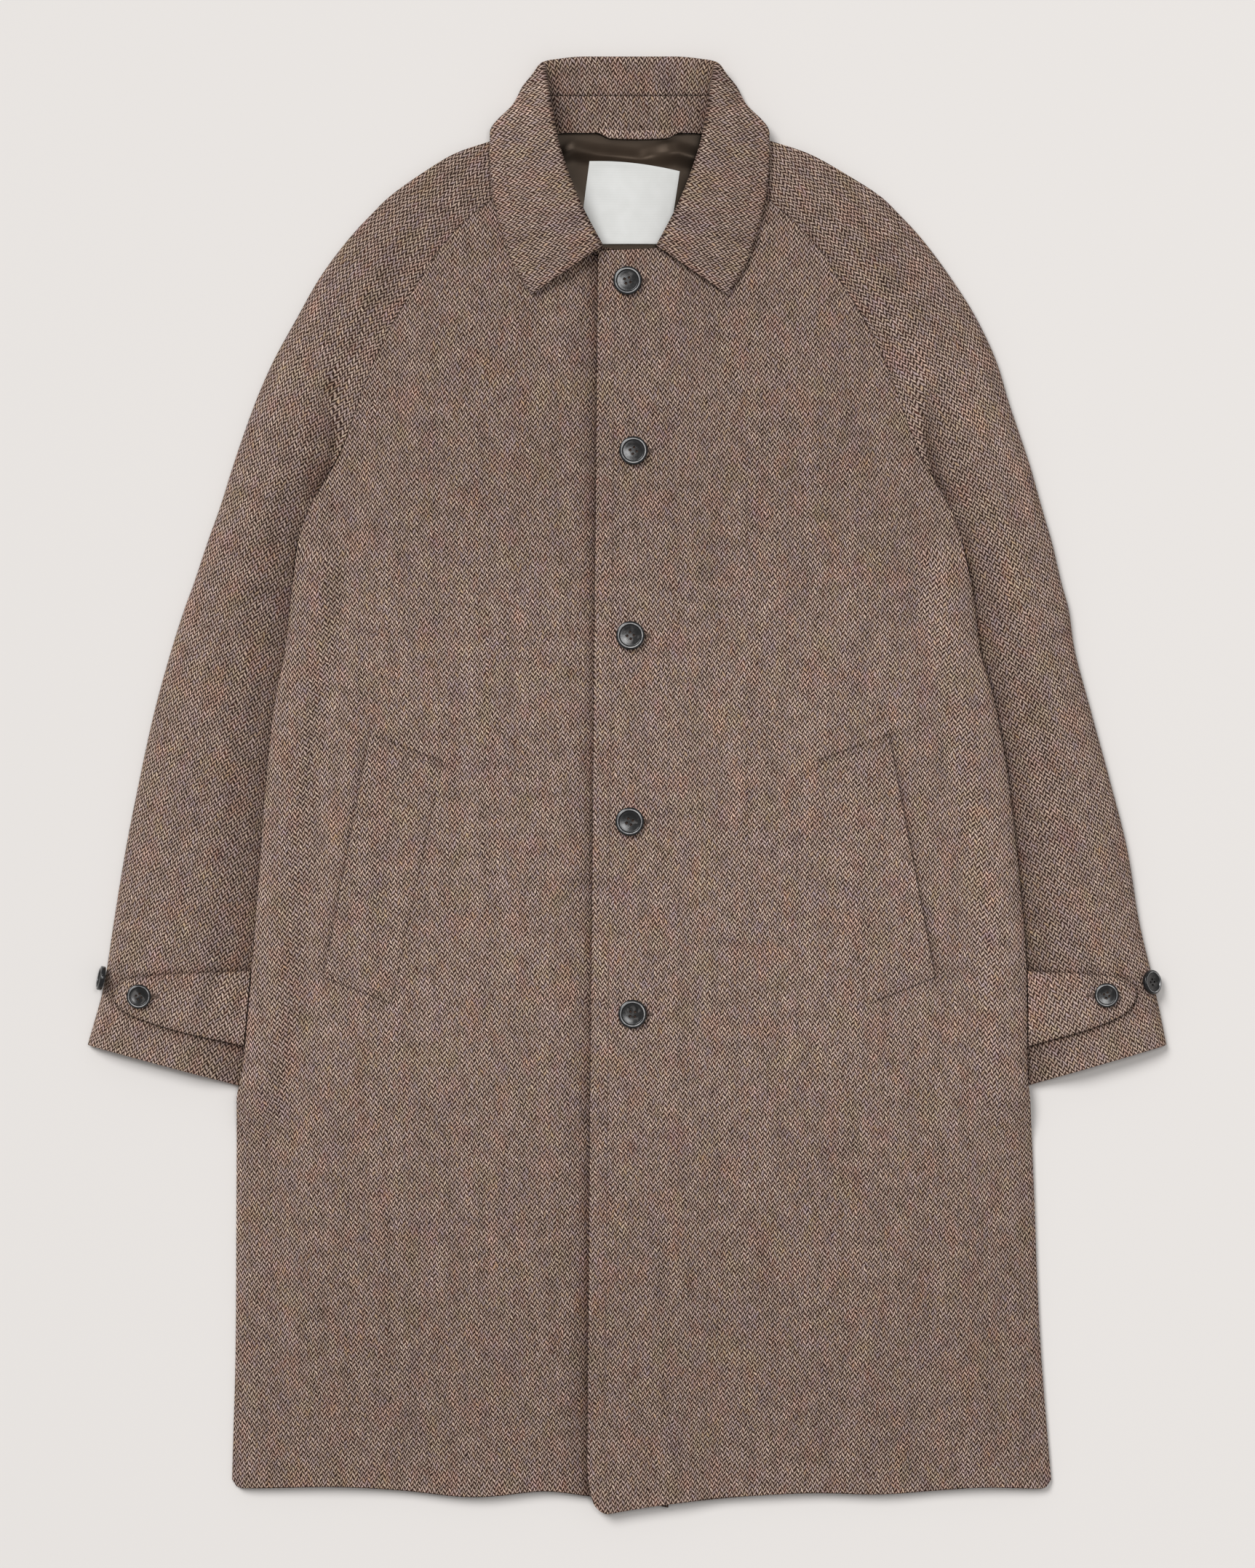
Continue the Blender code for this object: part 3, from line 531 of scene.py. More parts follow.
def dress(node, name, points, wall, rests_on, painted_shade_of=None, cloth=("tweed", tweed), cut=None, **laying):
    """Lay a sheet in the place of its solid and say what it was cut from."""
    piece, flat, area = lay_sheet(name, points, wall, **laying)
    if painted_shade_of is not None:
        set_painted_shade(piece, painted_shade_of)
    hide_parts(node)
    hold(piece, *cloth)
    flat = (flat[0], cut or flat[1])
    faces = sum(len(face.vertices) - 2 for face in piece.data.polygons)
    print(f"{piece.name}: {flat[0]:.3f} x {flat[1]:.3f} m, {area:.4f} m2, {faces} triangles")


# %% [markdown]
# The outlines come from the coat's own cut: half-widths of the body by height, the raglan seam that runs from
# the underarm to the neck, and the sleeve from its inner to its outer edge. A cubic curve goes through each
# table without overshooting, so that outlines are smooth where the solids have corners.

# %% Outlines of the body
UNDERARM = 757.0
FRONT_TOP = 986.0
NECK_TURN = 992.0
NECK_POINT = 1047.0
BODY_HEIGHTS = (0, 120, 310, 330, 413, 490, 568, 630, 664, 715, UNDERARM)
BODY_HALF = {
    "right": (317, 314, 313, 309, 301, 295, 289, 282, 275, 269, 264),
    "left": (336, 327, 319, 317, 316, 310, 301, 290, 280, 273, 264)}
RAGLAN_HEIGHTS = (UNDERARM, 779, 803, 828, 862, 886, 912, 939, 966, FRONT_TOP, NECK_TURN, 1007, 1025,
                  NECK_POINT)
RAGLAN_HALF = (264, 256, 243, 229, 217, 208, 197, 182, 165, 152, 147, 134, 112, 88)


def curve_through(places, values, at):
    """A smooth curve through a table, level at its turning points, so it never overshoots."""
    places = np.asarray(places, float)
    values = np.asarray(values, float)
    steps = np.diff(places)
    slopes = np.diff(values) / steps
    same_way = slopes[1:] * slopes[:-1] > 0.0
    mean = 2.0 * slopes[1:] * slopes[:-1] / np.where(same_way, slopes[1:] + slopes[:-1], 1.0)
    tangents = np.concatenate([slopes[:1], np.where(same_way, mean, 0.0), slopes[-1:]])
    at = np.clip(np.asarray(at, float), places[0], places[-1])
    row = np.clip(np.searchsorted(places, at, side="right") - 1, 0, len(steps) - 1)
    share = (at - places[row]) / steps[row]
    ease = share * share * (3.0 - 2.0 * share)
    swing = (1.0 - share) * tangents[row] - share * tangents[row + 1]
    return values[row] + steps[row] * (slopes[row] * ease + share * (1.0 - share) * swing)


def body_half(side, height):
    """Half-width of the body up to the underarm, and of the front along the raglan seam above it."""
    below = curve_through(BODY_HEIGHTS, BODY_HALF[side], height)
    above = curve_through(RAGLAN_HEIGHTS, RAGLAN_HALF, height)
    return np.where(np.asarray(height) <= UNDERARM, below, above)


print("half-width at the pocket:", [round(float(body_half(side, 500.0))) for side in SIDES])

# %% [markdown]
# The coat is thin, but its height still shapes the light. The body's side edges lie on the sleeves, the left
# front laps over the right one, and soft folds run up from the hem. One function gives the height of a
# front anywhere, so that welts, buttons and stitches can be set on it later.

# %% Height of the fronts
CLOTH = 3.0
SEAM = 0.3
LAY = 0.5
EDGE_AIR = 0.2
SEAM_AIR = 1.0
BODY_AIR = 1.6
BODY_LOFT = 4.2
LOFT_HEM = (0.0, 120.0)
LOFT_CHEST = (850.0, 940.0)
TUCK_RISE = 7.0
TUCK_FLAT = 20.0
TUCK_SLOPE = 46.0
TUCK_START = (272.0, 310.0)
LOFT_SIDE = (TUCK_FLAT, 62.0)
SLEEVE_TUCKED = 690.0
SLEEVE_CLEAR = 730.0
LAP_STEP = (34.0, 76.0)
EDGE_ROLL = 14.0
EDGE_DROP = 3.4
FOLD_FADE = 110.0
FOLDS = (
    # x at the hem, x at its top, from height, to height, half-width, rise, shift of the hem
    (-128, -96, -40, 340, 42, 1.5, -5.0),
    (-238, -205, -40, 560, 38, 1.4, 1.5),
    (-66, -60, -40, 240, 26, 0.7, 2.5),
    (118, 100, -40, 420, 44, 1.4, 0.5),
    (200, 186, -40, 520, 36, 1.5, -2.5),
    (284, 262, -40, 300, 30, 1.0, 1.5),
    (-150, -128, 660, 900, 42, 1.4, 0.0),
    (152, 132, 640, 910, 42, 1.3, 0.0))


def roll_off(from_edge, reach, drop):
    """How far a rounded edge falls below the level beside it."""
    outside = np.clip(1.0 - np.asarray(from_edge, float) / reach, 0.0, 1.0)
    return drop * (1.0 - np.sqrt(1.0 - outside ** 2))


def tuck(height, from_side):
    """How far the body's side strip is raised by the sleeve under it."""
    length = rise(height, *TUCK_START) * (1.0 - rise(height, SLEEVE_CLEAR, UNDERARM))
    return TUCK_RISE * length * (1.0 - rise(from_side, TUCK_FLAT, TUCK_SLOPE))


def fold_rise(x, height):
    """Height of the soft folds at a place on the fronts."""
    total = 0.0
    for x_low, x_high, low, high, width, up, _ in FOLDS:
        centre = np.interp(height, (low, high), (x_low, x_high))
        length = rise(height, low - FOLD_FADE, low) * (1.0 - rise(height, high, high + FOLD_FADE))
        total = total + up * length * np.exp(-((x - centre) / width) ** 2)
    return total


def body_top(side, x, height):
    """Height of the outer face of a front above the floor."""
    place = SIDES[side] * np.asarray(x, float)
    from_side = body_half(side, height) - place
    edge_air = np.where(np.asarray(height) >= UNDERARM, SEAM_AIR, EDGE_AIR)
    air = edge_air + (BODY_AIR - edge_air) * rise(from_side, 0.0, TUCK_FLAT)
    air = air + fold_rise(x, height) * rise(from_side, 0.0, TUCK_SLOPE)
    loft = BODY_LOFT * rise(from_side, *LOFT_SIDE) * rise(height, *LOFT_HEM)
    air = air + loft * (1.0 - rise(height, *LOFT_CHEST))
    below_arm = 1.0 - rise(height, SLEEVE_TUCKED, UNDERARM)
    top = CLOTH + tuck(height, from_side) + SEAM + air + CLOTH
    top = top - roll_off(from_side, EDGE_ROLL, EDGE_DROP) * below_arm
    if side == "left":
        top = top + (CLOTH + LAY) * (1.0 - rise(place, *LAP_STEP))
    return top


print("front at the pockets, in mm:", [round(float(body_top(s, SIDES[s] * 200.0, 500.0)), 1) for s in SIDES])

# %% [markdown]
# Each front is one panel from the hem to the neckline. Its rows run from the free edge to the side; the hem
# dips towards the middle and its corner is rounded. The back is hidden, except in the neck, and only
# carries the rest.

# %% Fronts
ROW_STEP = 4.0
NECK_ROW_STEP = 1.5
FRONT_COLUMNS = 92
LAP_EDGE_TOP = -25.0
LAP_EDGE_HEM = -34.0
UNDERLAP_EDGE = -31.0
NECK_HEIGHTS = {"right": (FRONT_TOP, NECK_TURN, 1007, 1025, NECK_POINT),
                "left": (FRONT_TOP, 988, 1007, 1025, NECK_POINT)}
NECK_HALF = {"right": (UNDERLAP_EDGE, 37, 54, 65, 73), "left": (LAP_EDGE_TOP, 33, 54, 65, 73)}
HEM_CORNER_SLANT = 8.0
HEM_CORNER_HEIGHT = 38.0
HEM_TIP_ROUND = 9.0
HEM_ROWS = (0.0, 0.3, 0.9, 1.8, 3.0, 4.5, 6.2)
HEM_ROWS_TOP = 8.0
HEM_DROP = {"right": (-15.5, 78.0), "left": (-20.5, 100.0)}
HEM_FADE = 260.0
SIDE_CORNER = 7.0
UNDERLAP_DROP = 8.0
UNDERLAP_START = 900.0
UNDERLAP_REACH = 70.0
# Painted shadow on the right front beside the lap edge.
LAP_PAINTED_SHADOW = 0.85
LAP_PAINTED_SHADOW_REACH = 7.0
WELT_FREE_EDGE = ((243, 407), (206, 601))
# Painted shadow beside each welt's free edge.
WELT_PAINTED_SHADOW = 0.6
WELT_PAINTED_SHADOW_REACH = 4.0
WELT_PAINTED_SHADOW_START = 2.0
# Painted shade on the chest and towards the hem.
CHEST_PAINTED_SHADE = 0.19
CHEST_SHADE_HEIGHTS = (640.0, 820.0)
SKIRT_PAINTED_SHADE = 0.22
SKIRT_SHADE_HEIGHTS = (100.0, 420.0)
SEAM_SHARE = 0.08


def from_line(x, height, line):
    """Distance of places from a line of points, and how far along the line each is, from 0 to 1."""
    line = np.asarray(line, float)
    runs = np.diff(line, axis=0)
    lengths = np.linalg.norm(runs, axis=1)
    starts = np.concatenate([[0.0], np.cumsum(lengths)[:-1]])
    nearest = np.full(np.shape(x), np.inf)
    along = np.zeros(np.shape(x))
    for start, run, length, before in zip(line, runs, lengths, starts):
        share = np.clip(((x - start[0]) * run[0] + (height - start[1]) * run[1]) / length ** 2, 0.0, 1.0)
        away = np.hypot(x - start[0] - share * run[0], height - start[1] - share * run[1])
        along = np.where(away < nearest, (before + share * length) / lengths.sum(), along)
        nearest = np.minimum(nearest, away)
    return nearest, along


def front_edge(side, height):
    """Distance of a front's free edge from the button line, towards its own side."""
    if side == "right":
        edge = np.full_like(height, UNDERLAP_EDGE)
    else:
        edge = np.interp(height, (0.0, FRONT_TOP), (LAP_EDGE_HEM, LAP_EDGE_TOP))
        edge = edge + HEM_CORNER_SLANT * np.clip(1.0 - height / HEM_CORNER_HEIGHT, 0.0, 1.0) ** 2
        edge = edge + roll_off(height, HEM_TIP_ROUND, HEM_TIP_ROUND)
    return np.where(height <= FRONT_TOP, edge, np.interp(height, NECK_HEIGHTS[side], NECK_HALF[side]))


def hem_shift(side, place, from_front, from_side, height):
    """How far a point near the hem lies above or below its level."""
    drop, reach = HEM_DROP[side]
    shift = drop * np.exp(-from_front / reach)
    for x_low, _, _, _, width, _, dip in FOLDS:
        shift = shift + dip * np.exp(-((SIDES[side] * place - x_low) / width) ** 2)
    shift = shift + SIDE_CORNER * np.clip(1.0 - from_side / SIDE_CORNER, 0.0, 1.0) ** 2
    return shift * np.clip(1.0 - height / HEM_FADE, 0.0, 1.0)


def front_points(side):
    """Points of a front's outer face, from the hem up and from the free edge to the side."""
    heights = np.concatenate([HEM_ROWS, np.arange(HEM_ROWS_TOP, FRONT_TOP, ROW_STEP),
                              np.arange(FRONT_TOP, NECK_TURN, NECK_ROW_STEP),
                              np.arange(NECK_TURN, NECK_POINT, ROW_STEP), [NECK_POINT]])[:, None]
    inner = front_edge(side, heights)
    outer = body_half(side, heights) - np.where(heights >= UNDERARM, SEAM_SHARE, 0.0)
    place = inner + (outer - inner) * np.linspace(0.0, 1.0, FRONT_COLUMNS)[None, :]
    height = heights + 0.0 * place
    top = body_top(side, SIDES[side] * place, height)
    shift = hem_shift(side, place, place - inner, outer - place, height)
    if side == "right":
        below_turn = np.clip((NECK_TURN - height) / (NECK_TURN - FRONT_TOP), 0.0, 1.0)
        near_top = rise(height, UNDERLAP_START, FRONT_TOP) * below_turn
        shift = shift - UNDERLAP_DROP * near_top * (1.0 - rise(place - inner, 0.0, UNDERLAP_REACH))
    return np.stack([SIDES[side] * place, height + shift, top], axis=-1)


def painted_shadow_beside_lap(points):
    """Painted shadow on the right front beside the edge of the left one."""
    x, up, _ = points.T
    lap = np.interp(up, (0.0, FRONT_TOP), (LAP_EDGE_HEM, LAP_EDGE_TOP))
    return LAP_PAINTED_SHADOW * np.exp(-np.clip(lap - x, 0.0, None) / LAP_PAINTED_SHADOW_REACH)


def painted_shadow_beside_welt(points):
    """Painted shadow on a front beside the free edge of its welt."""
    x, up, _ = points.T
    (low_x, low), (high_x, high) = WELT_FREE_EDGE
    away, _ = from_line(np.abs(x), up, WELT_FREE_EDGE)
    outside = np.abs(x) > np.interp(up, (low, high), (low_x, high_x)) - WELT_PAINTED_SHADOW_START
    return np.where(outside, WELT_PAINTED_SHADOW * np.exp(-away / WELT_PAINTED_SHADOW_REACH), 0.0)


def chest_and_hem_painted_shade(points):
    """Painted shade: the cloth a little darker on the chest and at the hem than over the waist."""
    up = points[:, 1]
    return CHEST_PAINTED_SHADE * rise(up, *CHEST_SHADE_HEIGHTS) + SKIRT_PAINTED_SHADE * (1.0 - rise(up, *SKIRT_SHADE_HEIGHTS))


# Painted shadows and shade that each front carries.
FRONT_PAINTED_SHADES = {
    "right": lambda points: painted_shadow_beside_lap(points) + painted_shadow_beside_welt(points) + chest_and_hem_painted_shade(points),
    "left": lambda points: painted_shadow_beside_welt(points) + chest_and_hem_painted_shade(points)}
for side in SIDES:
    dress("front_" + side, "front_panel_" + side, front_points(side), CLOTH, ["back_cloth"], FRONT_PAINTED_SHADES[side])

# %% Back
BACK_COLUMNS = 60
BACK_ROW_STEP = 9.0
BACK_INSET = 9.5
BACK_HEM = 6.0
BACK_NECK = 1079.0
BACK_NECK_HEIGHTS = (NECK_POINT, 1062, BACK_NECK)
BACK_NECK_HALF = (88, 80, 70)


def back_points():
    """Points of the back's upper face, inset at the sides so that the fronts close over it."""
    heights = np.concatenate([np.arange(BACK_HEM, BACK_NECK, BACK_ROW_STEP), [BACK_NECK]])[:, None]
    shares = np.linspace(0.0, 1.0, BACK_COLUMNS)[None, :]
    halves = {}
    for side in SIDES:
        inset = np.where(heights >= UNDERARM, SEAM_SHARE, BACK_INSET)
        neck = np.interp(heights, BACK_NECK_HEIGHTS, BACK_NECK_HALF)
        halves[side] = np.where(heights >= NECK_POINT, neck, body_half(side, heights)) - inset
    place = -halves["right"] + (halves["right"] + halves["left"]) * shares
    height = heights + 0.0 * place
    half = np.where(place < 0.0, halves["right"], halves["left"])
    top = CLOTH + tuck(height, half + BACK_INSET - np.abs(place))
    return np.stack([place, height, top], axis=-1)


dress("back_panel", "back_cloth", back_points(), CLOTH, ["floor"])

# %% [markdown]
# A raglan sleeve runs up to the neck, so its seam crosses the chest. The sleeve is a flattened tube: full in
# the middle, round at its outer edge, and pressed flat where the body lies on it. A soft fold runs up from
# the armpit. Its weave follows the arm, which leans further out towards the shoulder.

# %% Height of the sleeves
SLEEVE_AIR = 3.4
SLEEVE_LOFT = 4.6
SLEEVE_VALLEY = 46.0
SLEEVE_EDGE_ROUND = 42.0
SLEEVE_LOFT_FADE = (930.0, 1040.0)
SLEEVE_EDGE_FADE = (990.0, 1060.0)
SLOPE_STEP = 5.0
SLEEVE_HEIGHTS = (317, 365, 420, 480, 550, 620, SLEEVE_TUCKED, SLEEVE_CLEAR, UNDERARM, 779, 803, 828, 862,
                  886, 912, 939, 966, FRONT_TOP, NECK_TURN, 1007, 1025, NECK_POINT)
OUTER_HEIGHTS = (353, 401, 452, 507, 563, 618, 672, 700, 722, 752, 783, 815, 866, 896, 931, 966, 999, 1019,
                 1027, 1046, 1064, 1075)
OUTER_HALF = {
    "right": (432, 419, 411, 402, 391, 379, 364, 355, 347, 337, 326, 316, 298, 285, 266, 246, 221, 202, 194,
              168, 138, 105),
    "left": (428, 418, 406, 397, 383, 368, 354, 350, 344, 337, 328, 319, 302, 293, 277, 255, 230, 211, 203,
             174, 141, 107)}
ARMPIT_FOLD = {
    "right": ((251, 792), (240, 812), (235, 829), (236, 845), (242, 880), (248, 916)),
    "left": ((252, 786), (241, 808), (235, 833), (234, 856), (235, 884), (238, 914))}
ARMPIT_WIDTH = 6.0
ARMPIT_RISE = 3.3


def from_outer_edge(side, x, height):
    """Distance of places on a sleeve from its outer edge."""
    reach = curve_through(OUTER_HEIGHTS, OUTER_HALF[side], height)
    below = curve_through(OUTER_HEIGHTS, OUTER_HALF[side], np.asarray(height) - SLOPE_STEP)
    return (reach - np.abs(x)) / np.sqrt(1.0 + ((reach - below) / SLOPE_STEP) ** 2)


def sleeve_top(side, x, height):
    """Height of the outer face of a sleeve above the floor."""
    across = np.abs(np.asarray(x, float))
    height = np.asarray(height, float)
    from_body = across - body_half(side, height)
    at_seam = np.where(height >= UNDERARM, SEAM_AIR, EDGE_AIR)
    full = SLEEVE_AIR + SLEEVE_LOFT * (1.0 - rise(height, *SLEEVE_LOFT_FADE))
    air = at_seam + (full - at_seam) * rise(from_body, 0.0, SLEEVE_VALLEY)
    away, along = from_line(across, height, ARMPIT_FOLD[side])
    air = air + ARMPIT_RISE * np.exp(-(away / ARMPIT_WIDTH) ** 2) * np.sin(np.pi * along)
    from_outer = from_outer_edge(side, x, height)
    outside = np.clip(1.0 - from_outer / SLEEVE_EDGE_ROUND, 0.0, 1.0)
    air = np.maximum(air, EDGE_AIR) * np.sqrt(1.0 - outside ** 2)
    edge = roll_off(from_outer, EDGE_ROLL, EDGE_DROP)
    return CLOTH + SEAM + np.maximum(air, EDGE_AIR) + CLOTH - edge * (1.0 - rise(height, *SLEEVE_EDGE_FADE))


print("sleeve at the elbow, in mm:", [round(float(sleeve_top(s, SIDES[s] * 340.0, 560.0)), 1) for s in SIDES])

# %% Sleeves
SLEEVE_COLUMNS = 63
UNDER_COLUMNS = 15
CUFF_ROW_STEP = 2.0
CUFF_ROWS_TOP = 421.0
TUCK_OVERLAP = 14.0
GRAIN_START = (365.0, 335.0)
GRAIN_HEIGHTS = (300.0, 500.0, 700.0, 800.0, 900.0, 1000.0, 1080.0)
GRAIN_LEAN = (17.5, 16.0, 17.5, 21.0, 29.0, 40.0, 45.0)
GRAIN_LINE = (240.0, 1140.0)
GRAIN_STEP = 4.0
GRAIN_GUESS = -0.28
GRAIN_ROUNDS = 3
# Painted shade on the sleeves: beside the body, along the seam, beyond the armpit's fold, over the shoulder
# and round the tab.
BODY_PAINTED_SHADE = 0.64
BODY_PAINTED_SHADE_REACH = 20.0
SEAM_PAINTED_SHADE = 0.08
SEAM_PAINTED_SHADE_REACH = 5.0
SEAM_START = (UNDERARM, UNDERARM + 66.0)
ARMPIT_PAINTED_SHADE = 0.88
ARMPIT_REACH = 12.0
ARMPIT_CREST = 1.0
ARMPIT_INSIDE = (2.0, 0.9)
ARMPIT_START = (766.0, 806.0)
ARMPIT_END = (826.0, 898.0)
SHOULDER_PAINTED_SHADE = 0.18
SHOULDER_START = (860.0, 980.0)
SLEEVE_PAINTED_SHADE = 0.06
TAB_REACH = (0.0, 0.25, 0.5, 0.75, 0.92, 1.0)
TAB_LOW = (352, 358, 364, 372, 380, 389)
TAB_HIGH = (412, 411, 410, 408, 405, 399)
TAB_TIP = {"right": 411.0, "left": 403.0}
TAB_ROOT_GAP = 0.8
TAB_PAINTED_SHADOW = 0.8
TAB_EDGE_REACH = 2.4
TAB_EDGE_POINTS = 13


def tab_place(side, reach, share):
    """Place on a sleeve tab, from its root to its tip and from its lower to its upper edge."""
    low = curve_through(TAB_REACH, TAB_LOW, reach)
    height = low + (curve_through(TAB_REACH, TAB_HIGH, reach) - low) * share
    root = body_half(side, height) + TAB_ROOT_GAP
    return root + (TAB_TIP[side] - root) * reach, height


def round_tab(side, x, up):
    """How close places lie to the edge of a sleeve tab, from 0 to 1."""
    out = np.linspace(0.0, 1.0, TAB_EDGE_POINTS)
    edge = np.concatenate([np.stack(tab_place(side, out, 0.0), axis=-1),
                           np.stack(tab_place(side, out[::-1], 1.0), axis=-1)])
    away, _ = from_line(np.abs(x), up, edge)
    return np.exp(-away / TAB_EDGE_REACH)


def sleeve_inner(side, height):
    """Half-width at a sleeve's inner edge, which is tucked under the body below the underarm."""
    covered = 1.0 - rise(height, SLEEVE_TUCKED, SLEEVE_CLEAR)
    tucked = body_half(side, height) + LAY - (TUCK_OVERLAP + LAY) * covered
    return np.where(height >= UNDERARM, body_half(side, height) + SEAM_SHARE, tucked)


def sleeve_points(side, inset, top_of, columns):
    """Points of one half of a sleeve, from the cuff to the neckline and from its inner to its outer edge."""
    height = np.concatenate([np.arange(SLEEVE_HEIGHTS[0], CUFF_ROWS_TOP, CUFF_ROW_STEP),
                             np.arange(CUFF_ROWS_TOP, NECK_POINT, ROW_STEP), [NECK_POINT]])[:, None]
    share = np.linspace(0.0, 1.0, columns)[None, :]
    inner = sleeve_inner(side, height)
    outer = curve_through(SLEEVE_HEIGHTS, OUTER_HALF[side], height) - inset
    up = curve_through(SLEEVE_HEIGHTS, OUTER_HEIGHTS, height)
    across = inner + (outer - inner) * share
    heights = height + (up - height) * share
    return np.stack([SIDES[side] * across, heights, top_of(side, across, heights)], axis=-1)


def sleeve_grain(points):
    """Grain along the arm: distance along a line that leans with the sleeve, and distance from it."""
    heights = np.arange(*GRAIN_LINE, GRAIN_STEP)
    lean = np.tan(np.radians(np.interp(heights, GRAIN_HEIGHTS, GRAIN_LEAN)))
    line_x = GRAIN_START[0] - np.cumsum(lean) * GRAIN_STEP
    line_x = line_x - np.interp(GRAIN_START[1], heights, line_x) + GRAIN_START[0]
    line = np.stack([line_x, heights], axis=-1)
    steps = np.linalg.norm(np.diff(line, axis=0), axis=1)
    length = np.concatenate([[0.0], np.cumsum(steps)])
    x, up, z = points.T
    places = np.stack([np.abs(x), up], axis=-1)
    guess = np.searchsorted(heights, up + (np.abs(x) - GRAIN_START[0]) * GRAIN_GUESS)
    row = np.clip(guess, 1, len(heights) - 2)
    for _ in range(GRAIN_ROUNDS):
        ahead = ((places - line[row]) * unit(line[row + 1] - line[row - 1])).sum(axis=1)
        row = np.clip(row + np.round(ahead / GRAIN_STEP).astype(int), 1, len(heights) - 2)
    run, off = unit(line[row + 1] - line[row - 1]), places - line[row]
    along = length[row] + (off * run).sum(axis=1)
    beside = (off[:, 0] * run[:, 1] - off[:, 1] * run[:, 0] - WALL_SLANT[0] * z) * np.sign(x)
    return np.stack([beside, along + WALL_SLANT[1] * z, 0.0 * x], axis=-1)


def sleeve_painted_shade(points):
    """Painted shade on a sleeve beside the body and the tab, at the shoulder and beyond the armpit's fold."""
    x, up, _ = points.T
    side = "right" if x.mean() < 0.0 else "left"
    half = np.where(x < 0.0, body_half("right", up), body_half("left", up))
    from_body = np.clip(np.abs(x) - half, 0.0, None)
    at_seam = rise(up, *SEAM_START)
    painted_shade = BODY_PAINTED_SHADE * (1.0 - at_seam) * np.exp(-from_body / BODY_PAINTED_SHADE_REACH)
    painted_shade = painted_shade + SEAM_PAINTED_SHADE * at_seam * np.exp(-(from_body / SEAM_PAINTED_SHADE_REACH) ** 2)
    painted_shade = painted_shade + SLEEVE_PAINTED_SHADE + SHOULDER_PAINTED_SHADE * rise(up, *SHOULDER_START)
    away, _ = from_line(np.abs(x), up, ARMPIT_FOLD[side])
    fold_x, fold_up = np.array(ARMPIT_FOLD[side], float).T
    beyond = np.abs(x) > np.interp(up, fold_up, fold_x) + ARMPIT_CREST
    reach, share = ARMPIT_INSIDE
    valley = np.where(beyond, np.exp(-away / ARMPIT_REACH), np.exp(-(away / reach) ** 2) * share)
    painted_shade = painted_shade + ARMPIT_PAINTED_SHADE * valley * rise(up, *ARMPIT_START) * (1.0 - rise(up, *ARMPIT_END))
    return painted_shade + TAB_PAINTED_SHADOW * round_tab(side, x, up)


for side in SIDES:
    points = sleeve_points(side, BACK_INSET, lambda side, x, height: CLOTH + 0.0 * x, UNDER_COLUMNS)
    dress("sleeve_back_" + side, "sleeve_under_" + side, points, CLOTH, ["floor"], grain_of=sleeve_grain)
    points = sleeve_points(side, 0.0, sleeve_top, SLEEVE_COLUMNS)
    dress("sleeve_front_" + side, "sleeve_upper_" + side, points, CLOTH, ["sleeve_under_" + side],
          sleeve_painted_shade, grain_of=sleeve_grain)

# %% [markdown]
# The collar is one strip round the neck: the stand rises from the neck seam, the fall turns over at the roll
# line and lies on the fronts. It is given as sections from the end of a leaf to the centre back, each with a
# point on the neck seam, on the roll and on the outer edge.

# %% Collar
COLLAR_CLOTH = 3.0
STAND_CLOTH = 2.6
COLLAR_SEAM = 0.1
ROLL_RADIUS = 3.0
ROLL_SHARE = 0.3
LEAF_BULGE = 1.4
LEAF_SHARES = (0.3, 0.65)
COLLAR_STEPS = 9
STAND_STEPS = 9
STAND_RIM = 0.3
FALL_STEPS = (8, 4, 4, 9, 9, 9)
LEAF_LEAN = math.radians(8.0)
LEAF_SECTIONS = 7
TURNED_EDGE = 0.45
LEAF_TURN = 10
# Painted shade on the collar and in the neck.
NECK_SHADE_REACH = 7.0
COLLAR_PAINTED_SHADE = 0.6
BACK_COLLAR_PAINTED_SHADE = 0.16
BACK_COLLAR_FOOT = (1074.0, 1084.0)
BACK_COLLAR_SIDE = (56.0, 70.0)
NECK_SECTIONS = 8
LEAF_PAINTED_SHADE = 0.1
COLLAR_SECTIONS = np.array((
    # neck seam: across, up, height; roll line: across, up, height; outer edge: across, up, height; seam share
    (27, 984, 13.4, 22, 988, 17.2, 78, 950, 11.0, 0.80),
    (42, 994, 13.0, 28, 999, 19.0, 93, 976, 11.4, 0.84),
    (59, 1012, 11.4, 38, 1018, 22.0, 102, 1002, 11.8, 0.88),
    (71, 1038, 10.8, 50, 1047, 25.5, 109, 1032, 12.2, 0.88),
    (75, 1054, 10.6, 58, 1073, 28.0, 111, 1056, 12.4, 0.86),
    (73, 1065, 8.6, 62, 1094, 27.5, 111, 1079, 11.0, 0.78),
    (67, 1073, 7.2, 66, 1114, 23.0, 93, 1101, 3.4, 0.68),
    (60, 1078, 6.0, 69, 1133, 15.0, 79, 1120, 2.4, 0.60),
    (50, BACK_NECK + 0.6, 5.3, 56, 1137, 8.6, 54, 1109, 2.2, 0.54),
    (30, BACK_NECK + 0.6, 5.0, 34, 1139, 6.2, 33, 1107, 1.9, 0.52),
    (0, BACK_NECK + 0.6, 5.0, 0, 1139, 5.8, 0, 1106, 1.9, 0.52)))


def collar_sections():
    """The table's columns at close sections, round the neck from the right leaf to the left one."""
    mirror = np.array((-1, 1, 1, -1, 1, 1, -1, 1, 1, 1))
    table = np.concatenate([COLLAR_SECTIONS * mirror, COLLAR_SECTIONS[-2::-1]])
    at = np.linspace(0.0, len(table) - 1.0, (len(table) - 1) * COLLAR_STEPS + 1)
    return np.stack([curve_through(np.arange(len(table)), column, at) for column in table.T], axis=-1)


